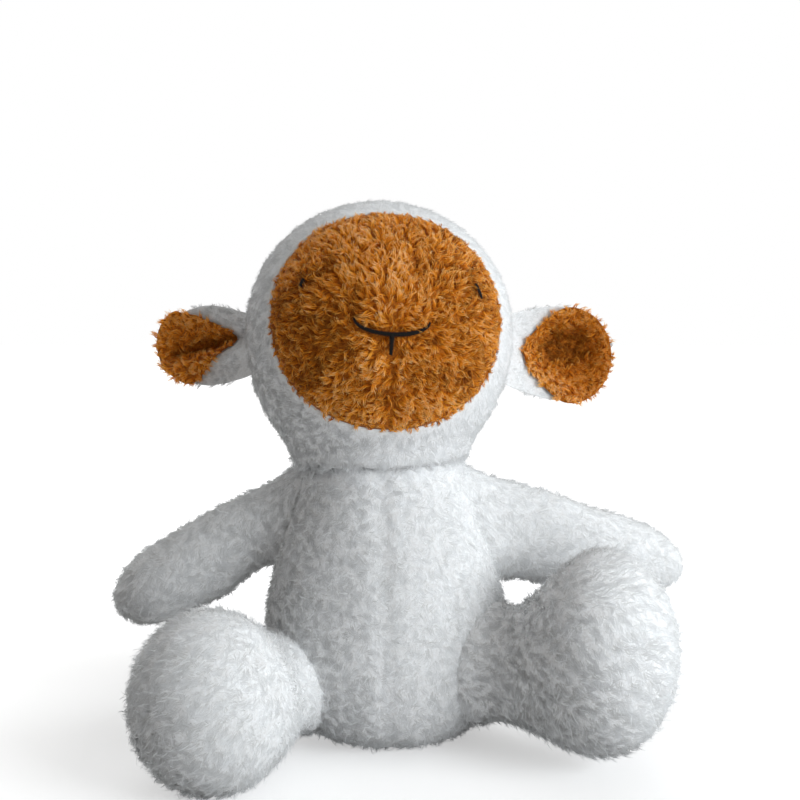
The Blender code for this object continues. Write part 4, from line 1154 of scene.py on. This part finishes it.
class SHEEP_OT_ears(bpy.types.Operator):
    """Builds both cupped ears, white behind and brown inside, with their pile"""

    bl_idname = "sheep.ears"
    bl_label = "Ears"

    def execute(self, context):
        s, p = context.scene.sheep_sizes, context.scene.sheep_pile
        for side, sign in SIDES.items():
            fact = EAR[side]
            seat, outward, _, upward = ear_axes(s, side)
            facing = sign < 0.0

            def white_outline(angle):
                half = (fact["length"] + 0.014) / 2.0 - 0.0028
                tall = fact["height"] / 2.0 - 0.0028
                square = 1.0 - 0.62 * ease((0.2 - np.cos(angle)) / 1.0)
                pinch = 1.0 - 0.14 * ease((0.3 - np.cos(angle)) / 1.3)
                rise = np.sign(np.sin(angle)) * np.abs(np.sin(angle)) ** square
                short = 0.0022 if side == "right" else 0.0
                middle = (fact["length"] - half - 0.0028 - short, 0.0)
                return middle, half * np.cos(angle), tall * rise * pinch

            def brown_outline(angle):
                if side == "right":
                    far = np.interp(np.degrees(angle), *RIGHT_LINING, period=360.0) + 0.0002
                    return (0.027, 0.0), far * np.cos(angle), far * np.sin(angle)
                along = 0.0228 * np.cos(angle)
                pinch = 1.0 - 0.35 * ease((0.0 - np.cos(angle)) / 1.0)
                return (0.0290, -0.0008), along, 0.0245 * np.sin(angle) * pinch

            points, along, rise, rows = ear_sheet(s, side, white_outline, 0.0026, -0.0038)
            away = dot(points - seat, outward)
            cover = put_skin(f"ear_{side}_skin", points, facing)
            dress(cover, white_backing())
            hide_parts(f"ear_{side}_back")
            normals = grid_normals(points, not facing)
            inward = ease((along - fact["length"] + 0.026) / 0.016)[..., None]
            flow = (unit(outward + 0.0 * points) + upward * (rise / 0.05)[..., None]) * (1.0 - 1.8 * inward)
            hidden = (away < 0.0015) | self.under_lining(side, brown_outline, along, rise, rows)
            fields = even(points, flow=flow, length=0.62, thickness=np.where(hidden, 0.0, 1.1))
            style = [white_style(p, stray=0.5, radius=0.0016)]
            pile = grow(f"ear_{side}_pile", points, normals, fields, style, fact["seed"])[0]
            dress(pile, white_pile())

            inner, along, rise, rows = ear_sheet(s, side, brown_outline, 0.0014, -0.0012)
            lining = put_skin(f"ear_{side}_lining_skin", inner, facing)
            dress(lining, brown_backing())
            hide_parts(f"ear_{side}_lining")
            front, along, rise = inner[:rows], along[:rows], rise[:rows]
            normals = grid_normals(front, not facing)
            fold, lip = ear_fold(side, along, rise)
            rim = np.linspace(0.0, 1.0, rows)[:, None] ** 2 + 0.0 * rise
            flow = outward * ((along - 0.020) / 0.02)[..., None] + upward * (rise / 0.02)[..., None]
            flow = flow * (1.0 - 0.7 * rim[..., None])
            # Lighter towards the rim and on the lower lip, darker in the fold: painted highlights on the rim
            # and the lip, painted shade in the fold; the lumps are random variation.
            shade = 0.50 + 0.24 * rim + 0.28 * lip - 0.62 * fold + 0.15 * lumps(front, 0.01, 17)
            fields = even(front, flow=flow, length=0.90 - 0.30 * rim - 0.15 * fold)
            fields["shade"] = np.clip(shade, 0.04, 0.95)
            style = [brown_style(p, pull=0.35, fray=0.0005, stray=0.7, speckle=0.08, mottle=0.08)]
            hair = grow(f"ear_{side}_hair", front, normals, fields, style, fact["seed"] + 5)[0]
            dress(hair, brown_pile())
            for piece in (cover, pile, lining, hair):
                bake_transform(piece)
        return {"FINISHED"}

    @staticmethod
    def under_lining(side, outline, along, rise, rows):
        """Whether the front of the ear is covered by its lining, a little in from its edge."""
        (middle, level), reach_along, reach_rise = outline(np.linspace(0.0, 2.0 * np.pi, 361))
        angle = np.arctan2(rise - level, along - middle)
        edge_angle = np.arctan2(reach_rise, reach_along)
        order = np.argsort(edge_angle)
        reach = np.hypot(reach_along, reach_rise)
        edge = np.interp(angle, edge_angle[order], reach[order], period=2.0 * np.pi)
        under = np.hypot(along - middle, rise - level) < edge - 0.001
        under[rows:] = False
        return under


def build_limb(name, limb, hinge, seed, flare, style, flow_of, length_of):
    """A limb's skin, cut to the body's side at its root, and its pile. The root flares out to the body, by a
    share that halves every few millimetres away from it."""
    s = bpy.context.scene.sheep_sizes
    points, place, angle = limb.grid(SKIN_INSET, 34, 72)
    spread = flare * np.exp(-np.maximum(body_gap(s, points), 0.0) / 0.006)
    points = points + grid_normals(points, True) * spread[..., None]
    points[..., 2] = np.maximum(points[..., 2], FLOOR_CLEARANCE)
    skin = put_skin(f"{name}_skin", points, False)
    cutter = put_skin("cutter", body_grid(s, CUTTER_INSET, 36, 48)[0], True)
    cut_by(skin, cutter)
    skin.data.shade_smooth()
    dress(skin, white_backing())
    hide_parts(f"{name}_cover")
    inner = limb.grid(STUFFING_INSET, 20, 48)[0]
    inner[..., 2] = np.maximum(inner[..., 2], 0.0020)
    filling = put_skin(f"{name}_filling", inner, False)
    cut_by(filling, cutter)
    bpy.data.objects.remove(cutter)
    dress(filling, fibre_cloth())
    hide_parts(f"{name}_stuffing")
    normals = grid_normals(points, True)
    buried = inside_body(s, points, 0.0020)
    place, angle = np.broadcast_arrays(place[:, None], angle)
    flow, length = flow_of(points, normals), length_of(place, angle)
    fields = even(
        points, flow=flow, length=length * (1.0 + 0.15 * lumps(points, 0.016, seed + 1)),
        thickness=np.where(buried, 0.0, 1.0), shade=1.0 + 0.2 * lumps(points, 0.014, seed + 2),
    )
    parts = {
        "_root": lambda r: (r - limb.base) @ limb.along < limb.widest_at * LIMB_PARTING,
        "_end": lambda r: (r - limb.base) @ limb.along >= limb.widest_at * LIMB_PARTING,
    }
    piles = grow(f"{name}_pile", points, normals, fields, style, seed, parts, FLOOR_CLEARANCE)
    for piece in piles:
        dress(piece, white_pile())
    for piece in (skin, filling, *piles):
        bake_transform(piece)


class SHEEP_OT_arms(bpy.types.Operator):
    """Builds both arms, combed towards the paws"""

    bl_idname = "sheep.arms"
    bl_label = "Arms"

    def execute(self, context):
        s, p = context.scene.sheep_sizes, context.scene.sheep_pile
        for side in SIDES:
            limb, hinge = arm_form(s, side)
            seed = ARM[side]["seed"]

            def flow_of(points, normals):
                sway = lumps(points, 0.03, seed + 3)[..., None]
                return limb.along * 0.55 - UP * 0.5 + sway * np.cross(normals, limb.along) * 1.1

            def length_of(place, angle):
                return 1.0 - 0.35 * bump(np.abs(angle - 1.5 * np.pi), 0.12)

            build_limb(
                f"arm_{side}", limb, hinge, seed, 0.003,
                [white_style(p, stray=0.6), curl_style(p, per_area=0.026e6)], flow_of, length_of,
            )
        return {"FINISHED"}


class SHEEP_OT_legs(bpy.types.Operator):
    """Builds both legs, whose feet are brushed into sweeping tufts"""

    bl_idname = "sheep.legs"
    bl_label = "Legs"

    def execute(self, context):
        s, p = context.scene.sheep_sizes, context.scene.sheep_pile
        for side, sign in SIDES.items():
            limb, hinge = leg_form(s, side)
            seed = LEG[side]["seed"]

            def flow_of(points, normals):
                sway = lumps(points, 0.028, seed + 3)[..., None]
                sweep = np.array([sign * 0.8, -0.2, -0.55])
                near = bump(np.maximum(body_gap(s, points), 0.0), 0.008)[..., None]
                lie = (sweep + limb.along * 0.3) * (1.0 - near) - UP * near * 0.7
                return lie + sway * np.cross(normals, sweep) * 1.1

            def length_of(place, angle):
                return 1.0 + 0.15 * ease(place / 0.05)

            build_limb(
                f"leg_{side}", limb, hinge, seed, 0.004,
                [
                    white_style(p, bend=34.0, stray=0.6, pull=0.5, lean=(56.0, 86.0)),
                    curl_style(p, lean=(34.0, 84.0), bend=40.0, stray=0.6, per_area=0.055e6),
                ],
                flow_of, length_of,
            )
        return {"FINISHED"}


class SHEEP_OT_tail(bpy.types.Operator):
    """Builds the short tail"""

    bl_idname = "sheep.tail"
    bl_label = "Tail"

    def execute(self, context):
        s, p = context.scene.sheep_sizes, context.scene.sheep_pile
        limb, hinge = tail_form(s)
        build_limb(
            "tail", limb, hinge, TAIL["seed"], 0.002, [white_style(p, radius=0.0016)],
            lambda points, normals: limb.along + 0.0 * points, lambda place, angle: 0.85 + 0.0 * place,
        )
        return {"FINISHED"}


def satin(s, path, width_at, pitch=0.00036, thick=0.00042, stand=0.0004):
    """Satin stitches: short threads side by side across a path, each arched over it, as closed tubes."""
    steps = np.linalg.norm(np.diff(path, axis=0), axis=1)
    gone = np.concatenate([[0.0], np.cumsum(steps)])
    at = np.arange(pitch / 2.0, gone[-1], pitch)
    middle = np.stack([np.interp(at, gone, path[:, k]) for k in range(2)], axis=-1)
    before = np.stack([np.interp(at - 2e-4, gone, path[:, k]) for k in range(2)], axis=-1)
    after = np.stack([np.interp(at + 2e-4, gone, path[:, k]) for k in range(2)], axis=-1)
    ahead = unit(after - before)
    slanted = np.stack([-ahead[:, 1], ahead[:, 0]], axis=-1) + ahead * 0.25
    over = np.linspace(-1.0, 1.0, 7)
    wide = width_at(at / gone[-1])[:, None]
    places = middle[:, None, :] + unit(slanted)[:, None, :] * (over * wide / 2.0)[..., None]
    rise = stand + 0.30 * wide * np.sqrt(1.0 - 0.9 * over**2)
    centre = face_points(s, places[..., 0], places[..., 1], rise)
    above = face_points(s, places[..., 0], places[..., 1], rise + 1e-3)
    out = unit(above - centre)
    heading = unit(np.gradient(centre, axis=1))
    side = unit(np.cross(heading, out))
    thin = thick / 2.0 * np.array([0.25, 0.8, 1.0, 1.0, 1.0, 0.8, 0.25])[:, None, None]
    turn = np.linspace(0.0, 2.0 * np.pi, 6, endpoint=False)[:, None]
    round_it = out[:, :, None, :] * np.cos(turn) + side[:, :, None, :] * np.sin(turn)
    return centre[:, :, None, :] + thin * round_it


def put_threads(name, groups):
    """Closed tubes from rings, as one piece: quads between the rings and a fan over each end."""
    rings = np.concatenate(groups)
    count, rows, sides = rings.shape[:3]
    ends = np.stack([rings[:, 0].mean(axis=1), rings[:, -1].mean(axis=1)], axis=1)
    points = np.concatenate([rings.reshape(count, -1, 3), ends], axis=1)
    per = rows * sides + 2
    start = (np.arange(count) * per)[:, None, None]
    index = np.arange(rows * sides).reshape(rows, sides)
    turned = np.roll(index, -1, axis=1)
    quads = np.stack([index[:-1], index[1:], turned[1:], turned[:-1]], axis=-1).reshape(1, -1, 4)
    first = np.stack([index[0], turned[0], np.full(sides, per - 2)], axis=-1)
    last = np.stack([turned[-1], index[-1], np.full(sides, per - 1)], axis=-1)
    fans = np.concatenate([first, last]).reshape(1, -1, 3)
    faces = [(start + quads).reshape(-1, 4), (start + fans).reshape(-1, 3)]
    return put_mesh(name, points.reshape(-1, 3), faces)


class SHEEP_OT_embroidery(bpy.types.Operator):
    """Stitches the smile and the two eyes in satin stitch, thread by thread"""

    bl_idname = "sheep.embroidery"
    bl_label = "Embroidery"

    def execute(self, context):
        s, p = context.scene.sheep_sizes, context.scene.sheep_pile
        dark = mixed(p.thread, (0.0, 0.0, 0.0), 0.6)
        thread = cloth_material("embroidery thread", dark, p.thread, 0.0004, 0.00004, 0.85, sheen=0.0)
        smile, stem = smile_path(60)
        taper = lambda part: 0.0024 * (1.0 - 0.55 * np.abs(2.0 * part - 1.0) ** 3)
        fall = lambda part: 0.0028 * (1.0 - 0.35 * part)
        thin = lambda part: 0.85 * taper(part)
        pieces = {
            "mouth_stitching": ([satin(s, smile, taper), satin(s, stem, fall)], "mouth_embroidery"),
            "eye_left_stitching": ([satin(s, eye_path(1.0, 20), thin)], "eye_left"),
            "eye_right_stitching": ([satin(s, eye_path(-1.0, 20), thin, stand=-0.0004)], "eye_right"),
        }
        for name, (groups, node) in pieces.items():
            piece = dress(put_threads(name, groups), thread)
            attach(piece, "head")
            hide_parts(node)
        return {"FINISHED"}


class SHEEP_OT_filling(bpy.types.Operator):
    """Finishes what lies inside: the stuffing, the bag of pellets and the neck's drawn thread"""

    bl_idname = "sheep.filling"
    bl_label = "Filling"

    def execute(self, context):
        fibre = fibre_cloth()
        cloth = cloth_material("pellet cloth", (0.58, 0.59, 0.60), (0.80, 0.81, 0.82), 0.0034, 0.0010, 0.9)
        dark, pale = (0.70, 0.71, 0.71), (0.90, 0.91, 0.91)
        cord = cloth_material("white thread", dark, pale, 0.0006, 0.0002, 0.7, (1.0, 1.0, 4.0))
        for name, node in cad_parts.items():
            look = fibre if name.endswith("stuffing") else cloth if name == "pellet_bag" else None
            look = cord if name == "neck_thread" else look
            if look:
                for held in node.material_slots:
                    held.material = look
        return {"FINISHED"}


class SHEEP_OT_stage(bpy.types.Operator):
    """Sets the pale floor, the soft lamps and the camera"""

    bl_idname = "sheep.stage"
    bl_label = "Stage"

    def execute(self, context):
        g = context.scene.sheep_stage
        reach = 30.0
        corners = reach * np.array([[-1.0, -1.0, 0.0], [1.0, -1.0, 0.0], [1.0, 1.0, 0.0], [-1.0, 1.0, 0.0]])
        floor = put_mesh("floor", corners, [np.array([[0, 1, 2, 3]])])
        material, nodes, links = fresh_material("pale floor")
        shader = nodes["Principled BSDF"]
        set_inputs(shader, {
            "Base Color": (0.80, 0.80, 0.80, 1.0), "Roughness": 1.0, "Specular IOR Level": 0.0,
        })
        glow, add = nodes.new("ShaderNodeEmission"), nodes.new("ShaderNodeAddShader")
        path = nodes.new("ShaderNodeLightPath")
        links.new(self.seen(nodes, links, path), glow.inputs["Strength"])
        links.new(shader.outputs["BSDF"], add.inputs[0])
        links.new(glow.outputs["Emission"], add.inputs[1])
        links.new(add.outputs["Shader"], nodes["Material Output"].inputs["Surface"])
        floor.data.materials.append(material)
        self.light_world(context, g)
        self.lamp(context, "key", g.key, (0.92, 0.965, 1.0), (1.03, -0.72, 0.52), 0.7)
        self.lamp(context, "top", g.key * 0.2, (0.95, 0.98, 1.0), (0.05, 0.25, 1.2), 0.9)
        self.lamp(context, "back", g.key * 0.3, (0.95, 0.98, 1.0), (-0.75, 1.0, 0.6), 0.9)
        camera = bpy.data.objects.new("camera", bpy.data.cameras.new("camera"))
        context.scene.collection.objects.link(camera)
        camera.location = (g.side, -g.distance, g.height)
        camera.rotation_euler = (math.pi / 2.0 - g.pitch, 0.0, 0.0)
        camera.data.sensor_width = 36.0
        camera.data.lens = 48.15
        camera.data.clip_start = 0.01
        context.scene.camera = camera
        context.scene.view_settings.view_transform = "Standard"
        return {"FINISHED"}

    @staticmethod
    def seen(nodes, links, path):
        """How much the floor glows for the camera and for glossy rays: more, further from the sheep."""
        camera, glossy = path.outputs["Is Camera Ray"], path.outputs["Is Glossy Ray"]
        rays = math_node(nodes, links, "MAXIMUM", camera, glossy)
        place, away = nodes.new("ShaderNodeTexCoord"), nodes.new("ShaderNodeVectorMath")
        away.operation = "LENGTH"
        spread = nodes.new("ShaderNodeMapRange")
        set_inputs(spread, {"From Min": 0.15, "From Max": 0.45, "To Min": 0.45, "To Max": 1.0})
        wire(
            links, (place.outputs["Object"], away.inputs[0]), (away.outputs["Value"], spread.inputs["Value"]),
        )
        return math_node(nodes, links, "MULTIPLY", rays, spread.outputs["Result"])

    @staticmethod
    def light_world(context, g):
        world = bpy.data.worlds.new("studio")
        context.scene.world = world
        world.use_nodes = True
        nodes, links = world.node_tree.nodes, world.node_tree.links
        nodes.clear()
        path, out = nodes.new("ShaderNodeLightPath"), nodes.new("ShaderNodeOutputWorld")
        soft, white = nodes.new("ShaderNodeBackground"), nodes.new("ShaderNodeBackground")
        set_inputs(soft, {"Color": (1.0, 0.97, 0.93, 1.0), "Strength": g.fill})
        set_inputs(white, {"Color": (1.0, 1.0, 1.0, 1.0), "Strength": 1.0})
        top = path.outputs["Is Camera Ray"]
        for output in ("Is Glossy Ray", "Is Transmission Ray"):
            top = math_node(nodes, links, "MAXIMUM", top, path.outputs[output])
        mix = nodes.new("ShaderNodeMixShader")
        wire(
            links,
            (top, mix.inputs["Fac"]),
            (soft.outputs["Background"], mix.inputs[1]),
            (white.outputs["Background"], mix.inputs[2]),
            (mix.outputs["Shader"], out.inputs["Surface"]),
        )

    @staticmethod
    def lamp(context, name, power, colour, place, width):
        data = bpy.data.lights.new(name, "AREA")
        data.energy, data.color, data.size = power, colour, width
        lamp = bpy.data.objects.new(name, data)
        context.scene.collection.objects.link(lamp)
        forward = unit(np.array([0.0, 0.0, 0.12]) - np.array(place))
        side = unit(np.cross(forward, UP))
        above = np.cross(side, forward)
        matrix = np.eye(4)
        matrix[:3, 0], matrix[:3, 1], matrix[:3, 2], matrix[:3, 3] = side, above, -forward, place
        lamp.matrix_world = matrix.T


class SHEEP_PT_panel(bpy.types.Panel):
    """Lists the steps that build the sheep, and its sizes and colours"""

    bl_label = "Plush sheep"
    bl_idname = "SHEEP_PT_panel"
    bl_space_type = "VIEW_3D"
    bl_region_type = "UI"
    bl_category = "Plush sheep"

    def draw(self, context):
        for step in STEPS:
            self.layout.operator(step.bl_idname)
        for group in (context.scene.sheep_sizes, context.scene.sheep_pile, context.scene.sheep_stage):
            box = self.layout.box()
            for key in group.__annotations__:
                box.prop(group, key)


STEPS = (
    SHEEP_OT_stage, SHEEP_OT_body, SHEEP_OT_head, SHEEP_OT_face, SHEEP_OT_ears, SHEEP_OT_arms,
    SHEEP_OT_legs, SHEEP_OT_tail, SHEEP_OT_embroidery, SHEEP_OT_filling,
)
CLASSES = (SheepSizes, SheepPile, SheepStage, *STEPS, SHEEP_PT_panel)


def register():
    for each in CLASSES:
        bpy.utils.register_class(each)
    bpy.types.Scene.sheep_sizes = bpy.props.PointerProperty(type=SheepSizes)
    bpy.types.Scene.sheep_pile = bpy.props.PointerProperty(type=SheepPile)
    bpy.types.Scene.sheep_stage = bpy.props.PointerProperty(type=SheepStage)


def unregister():
    del bpy.types.Scene.sheep_sizes
    del bpy.types.Scene.sheep_pile
    del bpy.types.Scene.sheep_stage
    for each in reversed(CLASSES):
        bpy.utils.unregister_class(each)


def main():
    register()
    for step in STEPS:
        group, name = step.bl_idname.split(".")
        getattr(getattr(bpy.ops, group), name)()


if __name__ == "__main__":
    main()
